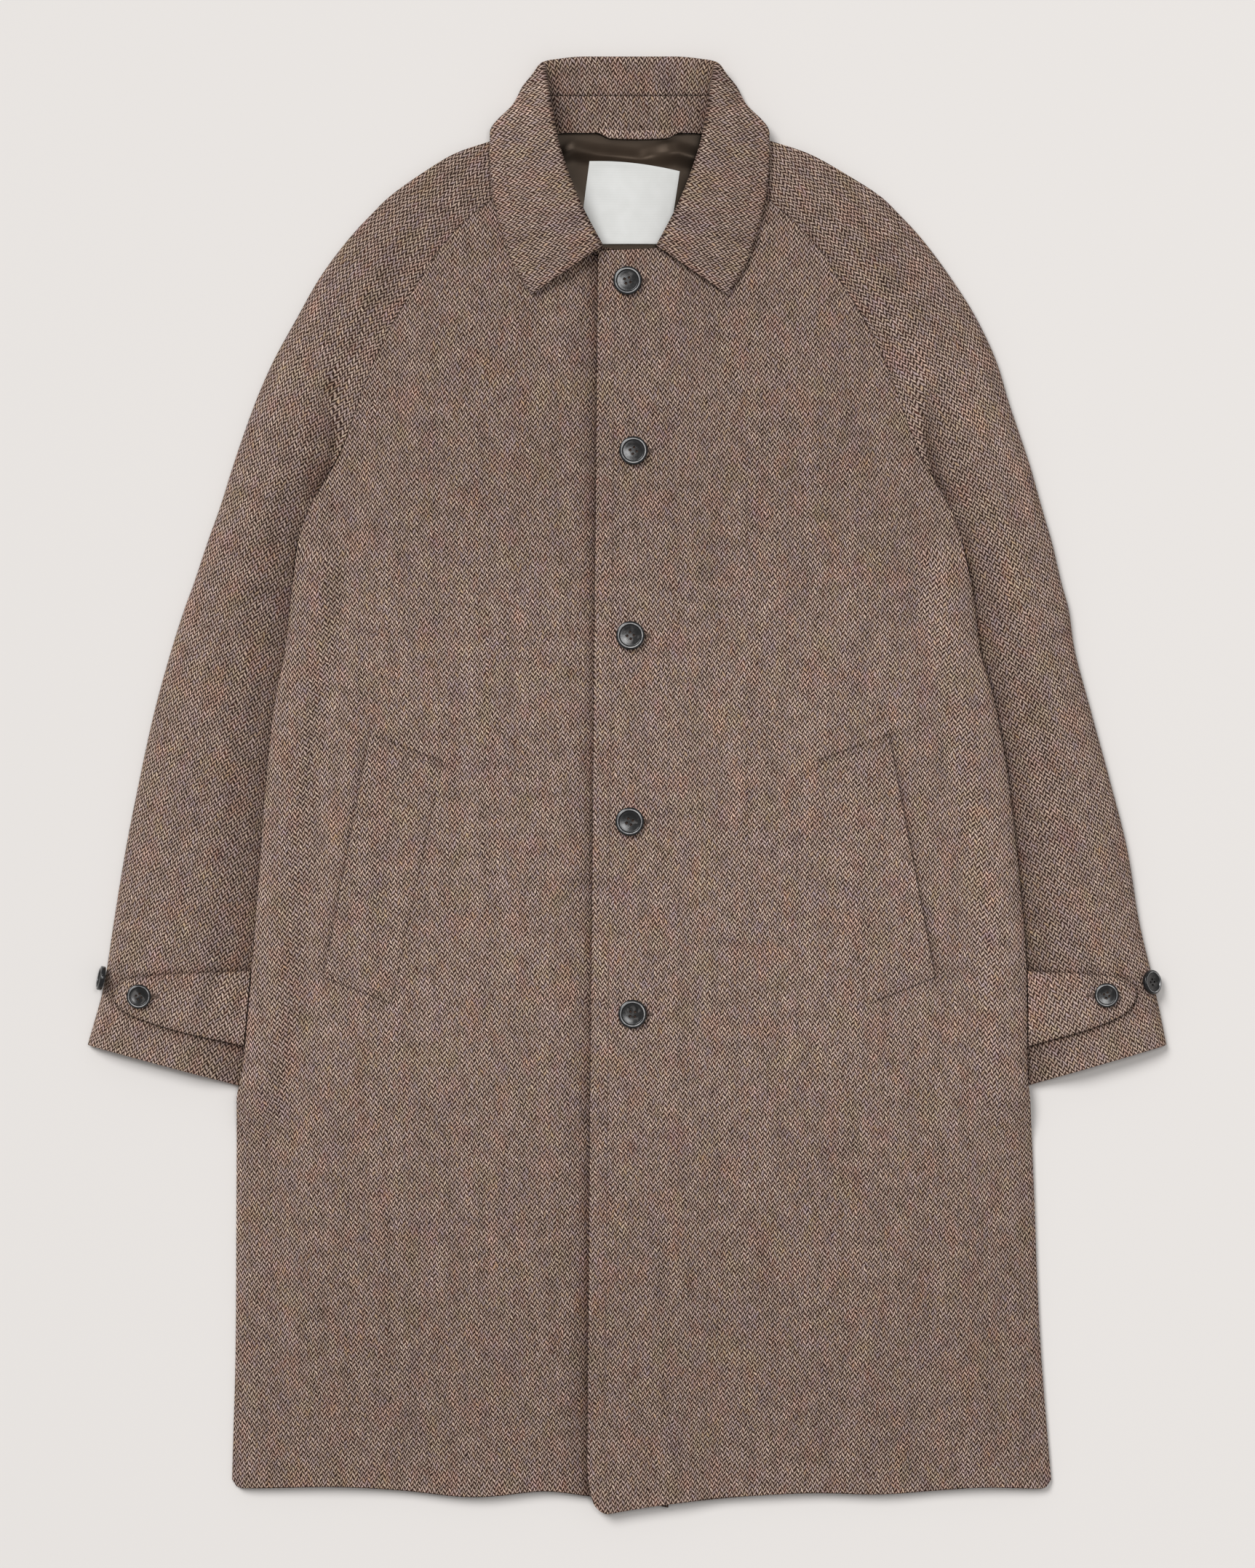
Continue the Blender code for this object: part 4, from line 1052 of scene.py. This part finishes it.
def collar_points():
    """Points of the stand and of the fall."""
    sections = collar_sections()
    neck, roll, edge, seam = np.split(sections, (3, 6, 9), axis=1)
    to_neck, to_edge = unit(neck - roll), unit(edge - roll)
    inward, spread = unit(to_neck + to_edge), unit(to_neck - to_edge)
    radius = np.minimum(ROLL_RADIUS, ROLL_SHARE * np.linalg.norm(neck - roll, axis=1))[:, None]
    inner = roll + (inward + spread) * radius
    outer = roll + (inward - spread) * radius
    gap = COLLAR_SEAM / np.linalg.norm(inner - neck, axis=1)[:, None]
    shares = np.linspace(0.0, 1.0, STAND_STEPS)[None, :, None]
    stand = neck[:, None] + (inner - neck)[:, None] * shares * (seam - gap)[:, None]
    leaf = [outer + (edge - outer) * share + (0.0, 0.0, LEAF_BULGE) for share in LEAF_SHARES]
    knots = np.stack([neck + (inner - neck) * (seam + gap), inner, roll, outer, *leaf, edge], axis=1)
    fall = []
    for row in knots:
        lengths = np.concatenate([[0.0], np.cumsum(np.linalg.norm(np.diff(row, axis=0), axis=1))])
        at = np.concatenate([np.linspace(a, b, n, endpoint=False)
                             for a, b, n in zip(lengths[:-1], lengths[1:], FALL_STEPS)] + [lengths[-1:]])
        fall.append(np.stack([curve_through(lengths, column, at) for column in row.T], axis=-1))
    return stand, np.array(fall)


def collar_grain(points, from_neck, turn):
    """Grain round the neck, grain turned with the leaves, and the cells that take the second one."""
    steps = np.linalg.norm(np.diff(points[:, 0], axis=0), axis=1)
    round_neck = np.concatenate([[0.0], np.cumsum(steps)])
    along = np.linalg.norm(np.diff(points, axis=1), axis=2).cumsum(axis=1)
    along = np.concatenate([np.zeros((len(points), 1)), along], axis=1) + from_neck[:, None]
    across = np.repeat((round_neck - round_neck.mean())[:, None], points.shape[1], axis=1)
    out, up = np.abs(points[..., 0]), points[..., 1] - FRONT_TOP
    leaf_across = up * np.cos(LEAF_LEAN) + out * np.sin(LEAF_LEAN)
    leaf_along = out * np.cos(LEAF_LEAN) - up * np.sin(LEAF_LEAN)
    section = np.arange(len(points) - 1)
    on_side = np.minimum(section, len(points) - 2 - section) < LEAF_SECTIONS * COLLAR_STEPS
    turned = on_side[:, None] & (np.arange(points.shape[1] - 1) >= turn)[None, :]
    return (np.stack([across, along, 0.0 * along], axis=-1),
            np.stack([leaf_across, leaf_along, 0.0 * along], axis=-1), turned)


def neck_shade_share(points, reach):
    """How close places in the neck lie to the foot of the collar, from 0 to 1."""
    x, up, _ = points.T
    roll_x, roll_up = COLLAR_SECTIONS[:NECK_SECTIONS, 3:5].T
    inside = np.interp(up, roll_up, roll_x) - np.abs(x)
    return np.where(inside > -1.0, np.exp(-np.clip(inside, 0.0, None) / reach), 0.0)


def collar_painted_shade(points):
    """Painted shade on the collar along its foot and inside the back of the neck."""
    x, up, _ = points.T
    at_back = rise(up, *BACK_COLLAR_FOOT) * (1.0 - rise(np.abs(x), *BACK_COLLAR_SIDE))
    return LEAF_PAINTED_SHADE + COLLAR_PAINTED_SHADE * neck_shade_share(points, NECK_SHADE_REACH) + BACK_COLLAR_PAINTED_SHADE * at_back


stand_points, fall_points = collar_points()
stand_height = np.linalg.norm(stand_points[:, -1] - stand_points[:, 0], axis=1)
dress("collar_stand", "neck_stand", stand_points, STAND_CLOTH, ["back_cloth"], collar_painted_shade, offset=0.0,
      rim=STAND_RIM, grain=collar_grain(stand_points, 0.0 * stand_height, stand_points.shape[1]))
wall_share = np.ones(fall_points.shape[:2])
wall_share[:, -1] = wall_share[0, :] = wall_share[-1, :] = TURNED_EDGE
dress("collar_fall", "turned_collar", fall_points, COLLAR_CLOTH, ["front_panel_right", "front_panel_left"],
      collar_painted_shade, offset=0.0, thin=wall_share, rim=0.0,
      grain=collar_grain(fall_points, stand_height, LEAF_TURN))

# %% [markdown]
# Inside the neck lies the satin lining. It is thin and smooth, so it gathers in soft ridges that catch
# the light. A plain woven label is sewn on it along its top edge, and a loop of the coat's own cloth is sewn
# into the neck seam for hanging the coat up.

# %% Lining, label and loop
LINING_CLOTH = 1.0
LINING_HEIGHTS = (962, 985, 1010, 1040, 1062, BACK_NECK + 0.3)
LINING_HALF = (52, 66, 76, 79, 76, 66)
LINING_RIDGES = (
    # points across and up, half-width, rise
    (((-62, 1056), (-44, 1066), (-24, 1062), (8, 1059), (30, 1066)), 5.0, 3.0),
    (((-60, 1040), (-45, 1020), (-38, 990)), 6.0, 1.6),
    (((14, 1058), (38, 1064), (58, 1058), (66, 1044)), 6.0, 2.6),
    (((48, 1040), (52, 1015), (44, 985)), 6.0, 1.5))
LINING_GRID = (50, 64)
# Painted shade on the satin beside the collar and under the neck seam.
LINING_SHADE_REACH = 12.0
LINING_SEAM_PAINTED_SHADE = 0.6
LINING_SEAM_REACH = 5.0
RIDGE_ENDS = (0.08, 0.92)
THIN_RIM = 0.2
LABEL_CLOTH = 0.8
LABEL_GRID = (22, 26)
LABEL_X = (-32.0, 40.0)
LABEL_HEIGHT = (991.0, 1053.5)
LABEL_TILT = 8.0
LABEL_LEVEL = 0.45
LABEL_DROOP = 2.2
LABEL_LEAN = 0.14
LABEL_BULGE = 2.6
LABEL_BULGE_SKEW = 1.3
LABEL_SEWN = 0.15
LABEL_FREE = 0.7
LOOP_GRID = (9, 40)
LOOP_RIM = 0.5
LOOP_X = (-26.0, 40.0)
LOOP_HEIGHT = (1075.5, 1083.0)
LOOP_SEAT = 6.8
LOOP_SAG = 1.6
LOOP_END = 0.2
LOOP_PINCH = 2.6
LOOP_SKEW = 12.0
LOOP_RISE = 1.2
LOOP_PUFF = 1.3
LOOP_END_PUFF = 0.3
LOOP_CLOTH = 1.8
LOOP_CUT = 0.010


def lining_top(x, height):
    """Height of the satin above the floor."""
    top = CLOTH + SEAM + LINING_CLOTH + 0.0 * x
    for line, width, up in LINING_RIDGES:
        away, along = from_line(x, height, line)
        top = top + up * np.exp(-(away / width) ** 2) * np.sin(np.pi * np.clip(along, *RIDGE_ENDS))
    return top


def lining_points():
    """Points of the satin that shows in the neck."""
    height = np.linspace(LINING_HEIGHTS[0], LINING_HEIGHTS[-1], LINING_GRID[0])[:, None]
    x = curve_through(LINING_HEIGHTS, LINING_HALF, height) * np.linspace(-1.0, 1.0, LINING_GRID[1])[None, :]
    height = height + 0.0 * x
    return np.stack([x, height, lining_top(x, height)], axis=-1)


def label_points():
    """Points of the label, bowed off the lining below its sewn top edge."""
    up, across = shares_of(LABEL_GRID)
    height = LABEL_HEIGHT[0] + (LABEL_HEIGHT[1] - LABEL_HEIGHT[0]) * up + 0.0 * across
    x = LABEL_X[0] + (LABEL_X[1] - LABEL_X[0]) * across - LABEL_LEAN * (LABEL_HEIGHT[1] - height)
    height = height + LABEL_TILT * (LABEL_LEVEL - across ** LABEL_DROOP) * up
    free = LABEL_SEWN + (1.0 - LABEL_SEWN) * (1.0 - up) ** LABEL_FREE
    bow = LABEL_BULGE * np.sin(np.pi * across ** LABEL_BULGE_SKEW) * free
    return np.stack([x, height, lining_top(x, height) + SEAM + LABEL_CLOTH + bow], axis=-1)


def loop_points():
    """Points of the hanger loop, puffed across, sagging between its sewn ends and drawn in at them."""
    up, across = shares_of(LOOP_GRID)
    slack = np.sin(np.pi * across)
    drawn_in = rise(np.minimum(across, 1.0 - across), 0.0, LOOP_END)
    x = LOOP_X[0] + (LOOP_X[1] - LOOP_X[0]) * across + LOOP_SKEW * (up - 0.5) * (0.5 - across)
    low = LOOP_HEIGHT[1] - LOOP_PINCH + (LOOP_HEIGHT[0] - LOOP_HEIGHT[1] + LOOP_PINCH) * drawn_in
    height = low + (LOOP_HEIGHT[1] - low) * up - LOOP_SAG * slack
    full = LOOP_END_PUFF + (1.0 - LOOP_END_PUFF) * drawn_in
    puff = LOOP_PUFF * np.sqrt(1.0 - (2.0 * up - 1.0) ** 2) * full
    return np.stack([x, height, LOOP_SEAT + LOOP_CLOTH + LOOP_RISE * slack + puff], axis=-1)


def lining_painted_shade(points):
    """Painted shade on the satin beside the collar and under the neck seam."""
    below_seam = np.clip(BACK_NECK - points[:, 1], 0.0, None)
    return (neck_shade_share(points, LINING_SHADE_REACH)
            + LINING_SEAM_PAINTED_SHADE * np.exp(-below_seam / LINING_SEAM_REACH))


dress("neck_lining", "satin_lining", lining_points(), LINING_CLOTH, ["back_cloth"], lining_painted_shade,
      cloth=("satin", satin), rim=THIN_RIM)
dress("neck_label", "bare_label", label_points(), LABEL_CLOTH, ["satin_lining"],
      cloth=("label", label_weave), rim=THIN_RIM)
dress("hanger_loop", "hanging_loop", loop_points(), LOOP_CLOTH, ["neck_stand"], cut=LOOP_CUT, rim=LOOP_RIM)

# %% [markdown]
# A welt is a strip that closes a slanted pocket. Only its edge towards the side seam is free; the other long
# edge is sewn in and the ends are stitched down, so the strip is thick at the free edge and fades out
# towards the front. The sleeve tabs lie on the sleeves above the cuffs.

# %% Welts and tabs
WELT_CLOTH = 2.6
WELT_CORNERS = {"low_in": (190, 386), "low_out": WELT_FREE_EDGE[0], "high_out": WELT_FREE_EDGE[1],
                "high_in": (149, 580)}
WELT_GRID = (64, 18)
WELT_EASE = 0.7
WELT_LIFT = (0.25, 2.5)
WELT_SWELL = 1.3
WELT_SINK = 0.1
WELT_THINNEST = 0.04
WELT_RIM = 0.7
WELT_END = 16.0
WELT_END_LIFT = 0.45
# Painted shadow along the sewn ends of each welt.
WELT_END_PAINTED_SHADOW = 0.75
WELT_END_REACH = 2.2
WELT_LOW_SHARE = 0.5
TAB_CLOTH = 2.0
TAB_GRID = (60, 32)
# Painted shade along a tab's own edges.
TAB_EDGE_PAINTED_SHADE = 0.45
TAB_PUFF = 0.6


def welt_points(side):
    """Points of a pocket welt, and how thick it is at each of them."""
    corners = {name: np.array(corner, float) for name, corner in WELT_CORNERS.items()}
    even, across = (share[..., None] for share in shares_of(WELT_GRID))
    up = even + WELT_EASE * (rise(even, 0.0, 1.0) - even)
    inner = corners["low_in"] + (corners["high_in"] - corners["low_in"]) * up
    outer = corners["low_out"] + (corners["high_out"] - corners["low_out"]) * up
    place = inner + (outer - inner) * across
    x, height = SIDES[side] * place[..., 0], place[..., 1]
    length = np.linalg.norm(corners["high_in"] - corners["low_in"])
    from_end = np.minimum(up, 1.0 - up)[..., 0] * length
    free = WELT_END_LIFT + (1.0 - WELT_END_LIFT) * rise(from_end, 0.0, WELT_END)
    lift = WELT_LIFT[1] * across[..., 0] ** WELT_SWELL * free
    wall = np.clip((lift + WELT_SINK) / WELT_CLOTH, WELT_THINNEST, 1.0)
    return np.stack([x, height, body_top(side, x, height) + WELT_LIFT[0] + lift], axis=-1), wall


def welt_painted_shade(points):
    """Painted shadow on a welt where its ends are sewn down, with the fronts' painted shade added."""
    x, up, _ = points.T
    low, _ = from_line(np.abs(x), up, (WELT_CORNERS["low_in"], WELT_CORNERS["low_out"]))
    high, _ = from_line(np.abs(x), up, (WELT_CORNERS["high_in"], WELT_CORNERS["high_out"]))
    ends = np.exp(-high / WELT_END_REACH) + WELT_LOW_SHARE * np.exp(-low / WELT_END_REACH)
    return WELT_END_PAINTED_SHADOW * ends + chest_and_hem_painted_shade(points)


def tab_points(side):
    """Points of a sleeve tab, a little full inside its turned edges."""
    place, height = tab_place(side, *shares_of(TAB_GRID))
    x = SIDES[side] * place
    puff = TAB_PUFF * (1.0 - round_tab(side, x, height) ** 0.5)
    return np.stack([x, height, sleeve_top(side, x, height) + SEAM + TAB_CLOTH + puff], axis=-1)


# Welts and tabs carry painted shadow at their ends and edges.
for side in SIDES:
    points, wall = welt_points(side)
    dress("pocket_welt_" + side, "welt_" + side, points, WELT_CLOTH, ["front_panel_" + side], welt_painted_shade,
          thin=wall, rim=WELT_RIM)
    dress("sleeve_tab_" + side, "tab_" + side, tab_points(side), TAB_CLOTH, ["sleeve_upper_" + side],
          lambda points: TAB_EDGE_PAINTED_SHADE * round_tab(side, points[:, 0], points[:, 1]), grain_of=sleeve_grain)

# %% [markdown]
# A coat button is turned from horn: a round blank gets a raised rim, a groove inside it and a shallow dish
# with four holes. A cylinder takes that shape with a few insets, each of which also moves the face up or
# down. Bevel softens the turned edges and a Boolean drills the holes.

# %% One button
BUTTON_SIDES = 48
HOLE_OFFSET = 0.165
HOLE_RADIUS = 0.10
DRILL_SIDES = 14
BLANK_SHARE = 0.8
FACES_AWAY = 0.9
BACK_CUT = (0.22, 0.05)
SHARP_EDGE = math.radians(20.0)
EDGE_BEVEL = 0.035
SMOOTH_ANGLE = math.radians(32.0)
BUTTON_CUTS = (
    # inset and depth, in shares of the radius and of the thickness
    (0.06, 0.12), (0.08, 0.08), (0.05, -0.03), (0.07, -0.34), (0.05, 0.0), (0.14, -0.05), (0.16, -0.06))


def pick_faces(piece, wanted):
    """Select the faces of a mesh in edit mode for which wanted(face) is true."""
    bpy.ops.object.mode_set(mode="OBJECT")
    for edge in piece.data.edges:
        edge.select = False
    for vertex in piece.data.vertices:
        vertex.select = False
    for face in piece.data.polygons:
        face.select = wanted(face)
    bpy.ops.object.mode_set(mode="EDIT")


def turn_button(name, diameter, thickness):
    """A four-hole button with its back at the origin."""
    radius = diameter / 2 * MM
    tall = thickness * MM
    deselect()
    bpy.ops.mesh.primitive_cylinder_add(
        vertices=BUTTON_SIDES, radius=radius, depth=BLANK_SHARE * tall,
        location=(0.0, 0.0, BLANK_SHARE * tall / 2))
    button = bpy.context.object
    button.name = name
    bpy.ops.object.transform_apply(location=True)
    bpy.ops.object.mode_set(mode="EDIT")
    bpy.ops.mesh.select_mode(type="FACE")
    pick_faces(button, lambda face: face.normal.z > FACES_AWAY)
    for inset, depth in BUTTON_CUTS:
        bpy.ops.mesh.inset(thickness=inset * radius, depth=depth * tall)
    pick_faces(button, lambda face: face.normal.z < -FACES_AWAY)
    bpy.ops.mesh.inset(thickness=BACK_CUT[0] * radius, depth=BACK_CUT[1] * tall)
    bpy.ops.mesh.select_all(action="DESELECT")
    bpy.ops.mesh.select_mode(type="EDGE")
    bpy.ops.mesh.edges_select_sharp(sharpness=SHARP_EDGE)
    bpy.ops.mesh.bevel(offset=EDGE_BEVEL * radius, segments=3)
    bpy.ops.object.mode_set(mode="OBJECT")
    drills = []
    for across in (-1, 1):
        for up in (-1, 1):
            place = (across * HOLE_OFFSET * radius, up * HOLE_OFFSET * radius, 0.5 * tall)
            bpy.ops.mesh.primitive_cylinder_add(
                vertices=DRILL_SIDES, radius=HOLE_RADIUS * radius, depth=3.0 * tall, location=place)
            drills.append(bpy.context.object)
    for drill in drills:
        apply_modifier(button, "BOOLEAN", operation="DIFFERENCE", object=drill)
        bpy.data.objects.remove(drill, do_unlink=True)
    deselect()
    button.select_set(True)
    bpy.context.view_layer.objects.active = button
    bpy.ops.object.shade_smooth_by_angle(angle=SMOOTH_ANGLE)
    places = np.empty(len(button.data.vertices) * 3)
    button.data.vertices.foreach_get("co", places)
    turned = button.data.attributes.new("turned", "FLOAT_VECTOR", "POINT")
    turned.data.foreach_set("vector", places / radius)
    return button


# %% All the buttons
FRONT_BUTTONS = ((-1.7, 961.5), (3.0, 826.0), (0.6, 679.0), (0.0, 531.0), (2.3, 378.0))
TAB_BUTTONS = {"right": (390.0, 392.0), "left": (379.0, 393.0)}
EDGE_BUTTONS = {
    # across, up, height above the floor, tilt and lean in degrees
    "right": (419.0, 406.0, 10.3, 78.0, -12.0), "left": (414.6, 403.0, 10.8, 45.0, 10.0)}
FRONT_SPIN = 17.0
TAB_SPIN = 28.0
EDGE_SPIN = 40.0
FRONT_BUTTON_SIZE = (22.8, 4.2)
CUFF_BUTTON_SIZE = (19.4, 3.8)


def set_button(name, blank, node, place, tilt=0.0, spin=0.0, lean=0.0):
    """A copy of a button with its back at a place, tilted about the coat's length and leaning from it."""
    button = blank.copy()
    button.data = blank.data.copy()
    button.name = name
    bpy.context.scene.collection.objects.link(button)
    turn = Matrix.Rotation(math.radians(tilt), 4, "Y") @ Matrix.Rotation(math.radians(spin), 4, "Z")
    turn = Matrix.Rotation(math.radians(lean), 4, "Z") @ turn
    button.data.transform(Matrix.Translation(Vector(world(place))) @ turn)
    hold(button, "horn", horn)
    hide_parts(node)


blank = turn_button("front_blank", *FRONT_BUTTON_SIZE)
button_places = []
for number, (x, height) in enumerate(FRONT_BUTTONS, start=1):
    seat = float(body_top("left", x, height)) + LAY
    button_places.append((x, height, seat, FRONT_BUTTON_SIZE[0]))
    set_button(f"horn_button_{number}", blank, f"front_button_{number}", (x, height, seat),
               spin=FRONT_SPIN * number)
bpy.data.objects.remove(blank, do_unlink=True)

blank = turn_button("cuff_blank", *CUFF_BUTTON_SIZE)
for side, sign in SIDES.items():
    x, height = TAB_BUTTONS[side]
    seat = float(sleeve_top(side, x, height)) + SEAM + TAB_CLOTH + TAB_PUFF + LAY
    button_places.append((sign * x, height, seat, CUFF_BUTTON_SIZE[0]))
    set_button(f"tab_button_{side}", blank, f"cuff_button_{side}_1", (sign * x, height, seat), spin=TAB_SPIN)
    x, height, z, tilt, lean = EDGE_BUTTONS[side]
    set_button(f"edge_button_{side}", blank, f"cuff_button_{side}_2", (sign * x, height, z),
               sign * tilt, EDGE_SPIN, lean)
bpy.data.objects.remove(blank, do_unlink=True)
print("button seats in mm:", [round(place[2], 1) for place in button_places])

# %% [markdown]
# Sewing comes last. A stitch is a short thread from one point to another with a slight arch, so a whole row
# is one curve with many short splines, turned into a mesh.

# %% Stitches
THREAD = 0.42
STITCH = 3.0
STITCH_GAP = 1.0
THREAD_SINK = 0.06


def sew(name, stitches, thickness=THREAD):
    """Threads from start to end as one mesh, each with a slight arch."""
    line = bpy.data.curves.new(name, "CURVE")
    line.dimensions = "3D"
    line.bevel_depth = thickness / 2 * MM
    line.bevel_resolution = 0
    line.use_fill_caps = True
    for start, end in stitches:
        arch = (np.asarray(start, float) + end) / 2 + (0.0, 0.0, thickness / 3)
        spline = line.splines.new("POLY")
        spline.points.add(2)
        for point, place in zip(spline.points, (start, arch, end)):
            point.co = (*world(place), 1.0)
    deselect()
    piece = bpy.data.objects.new(name, line)
    bpy.context.scene.collection.objects.link(piece)
    piece.select_set(True)
    bpy.context.view_layer.objects.active = piece
    bpy.ops.object.convert(target="MESH")
    hold(piece, "tweed", thread)
    print(f"{name}: {len(stitches)} stitches, {len(piece.data.polygons)} faces")


def along_line(line, length=STITCH, gap=STITCH_GAP):
    """Starts and ends of a row of stitches along a line of points."""
    line = np.asarray(line, float)
    runs = np.concatenate([[0.0], np.cumsum(np.linalg.norm(np.diff(line, axis=0), axis=1))])
    starts = np.arange(gap, runs[-1] - length, length + gap)
    ends = [np.stack([np.interp(at, runs, column) for column in line.T], axis=-1)
            for at in (starts, starts + length)]
    return list(zip(*ends))


# %% [markdown]
# Rows of topstitching hold the front edge and the collar at an even distance from the edge, and the welts are
# sewn down at their ends.

# %% Topstitching
TOPSTITCH = 13.5
FRONT_STITCHES = (4.0, 982.0)
WELT_STITCH = 2.2
WELT_STITCH_ROW = 4
LEAF_END_ROW = 6
LEAF_FIRST_COLUMN = 18


def front_line():
    """Points on the left front beside its free edge."""
    height = np.arange(*FRONT_STITCHES, ROW_STEP)
    inner = front_edge("left", height)
    place = inner + TOPSTITCH
    shift = hem_shift("left", place, place - inner, body_half("left", height) - place, height)
    top = body_top("left", place, height) + THREAD_SINK
    return np.stack([place, height + shift, top], axis=-1)


def leaf_line(rows):
    """Points beside the end and the outer edge of a collar leaf."""
    line = []
    for row in rows[LEAF_END_ROW:]:
        from_edge = np.linalg.norm(np.diff(row[::-1], axis=0), axis=1).cumsum()
        line.append([np.interp(TOPSTITCH, from_edge, column[::-1][1:]) for column in row.T])
    end_row = rows[LEAF_END_ROW]
    across = [point for point in end_row[LEAF_FIRST_COLUMN:]
              if np.linalg.norm(point - end_row[-1]) > TOPSTITCH + STITCH_GAP]
    return np.array(across + line) + (0.0, 0.0, COLLAR_CLOTH / 2 + THREAD_SINK)


leaf_rows = LEAF_SECTIONS * COLLAR_STEPS
sew("front_topstitch", along_line(front_line()))
sew("collar_topstitch", along_line(leaf_line(fall_points[:leaf_rows]))
    + along_line(leaf_line(fall_points[::-1][:leaf_rows])))
for side in SIDES:
    points, _ = welt_points(side)
    low_end, high_end = points[[WELT_STITCH_ROW, -1 - WELT_STITCH_ROW]] + (0.0, 0.0, THREAD_SINK)
    sew("welt_stitches_" + side, along_line(low_end, WELT_STITCH) + along_line(high_end, WELT_STITCH))

# %% [markdown]
# A buttonhole is a slit that is worked all round: short stitches stand side by side along both edges and fan
# out round its end. Most of each hole is hidden under its button.

# %% Buttonholes
HOLE_START = 3.0
HOLE_END = 14.6
HOLE_STEP = 0.85
HOLE_EDGE = (0.35, 1.9)
HOLE_FAN = 9
SLIT = 0.7


def buttonhole(x, height, way, top_of):
    """Stitches round a buttonhole that runs from under a button towards way, 1 or -1, across the coat."""
    def on_cloth(across, up):
        return np.array([across, up, float(top_of(across, up)) + THREAD_SINK])

    stitches = []
    for off in np.arange(HOLE_START, HOLE_END, HOLE_STEP):
        across = x + way * off
        for up in (-1.0, 1.0):
            stitches.append([on_cloth(across, height + up * edge) for edge in HOLE_EDGE])
    for turn in np.linspace(-math.pi / 2, math.pi / 2, HOLE_FAN):
        out, up = way * math.cos(turn), math.sin(turn)
        stitches.append([on_cloth(x + way * HOLE_END + edge * out, height + edge * up) for edge in HOLE_EDGE])
    return stitches, (on_cloth(x + way * HOLE_START, height), on_cloth(x + way * HOLE_END, height))


holes = [buttonhole(x, height, 1, lambda across, up: body_top("left", across, up))
         for x, height in FRONT_BUTTONS]
for side, sign in SIDES.items():
    x, height = TAB_BUTTONS[side]
    holes.append(buttonhole(sign * x, height, -sign, lambda across, up, side=side: sleeve_top(
        side, across, up) + SEAM + TAB_CLOTH + TAB_PUFF))
sew("buttonhole_stitches", [stitch for stitches, _ in holes for stitch in stitches])
sew("buttonhole_slits", [slit for _, slit in holes], SLIT)

# %% [markdown]
# Every button stands on a shank, the bundle of thread that is wound under it so that the cloth has room.

# %% Button shanks
SHANK_SHARE = 0.34
SHANK_SIDES = 18

for number, (x, height, seat, size) in enumerate(button_places, start=1):
    deselect()
    bpy.ops.mesh.primitive_cylinder_add(vertices=SHANK_SIDES, radius=SHANK_SHARE * size / 2 * MM,
                                        depth=LAY * MM, location=world((x, height, seat - LAY / 2)))
    bpy.ops.object.transform_apply(location=True)
    shank = bpy.context.object
    shank.name = f"button_shank_{number}"
    hold(shank, "tweed", thread)
print("shanks:", len(button_places))
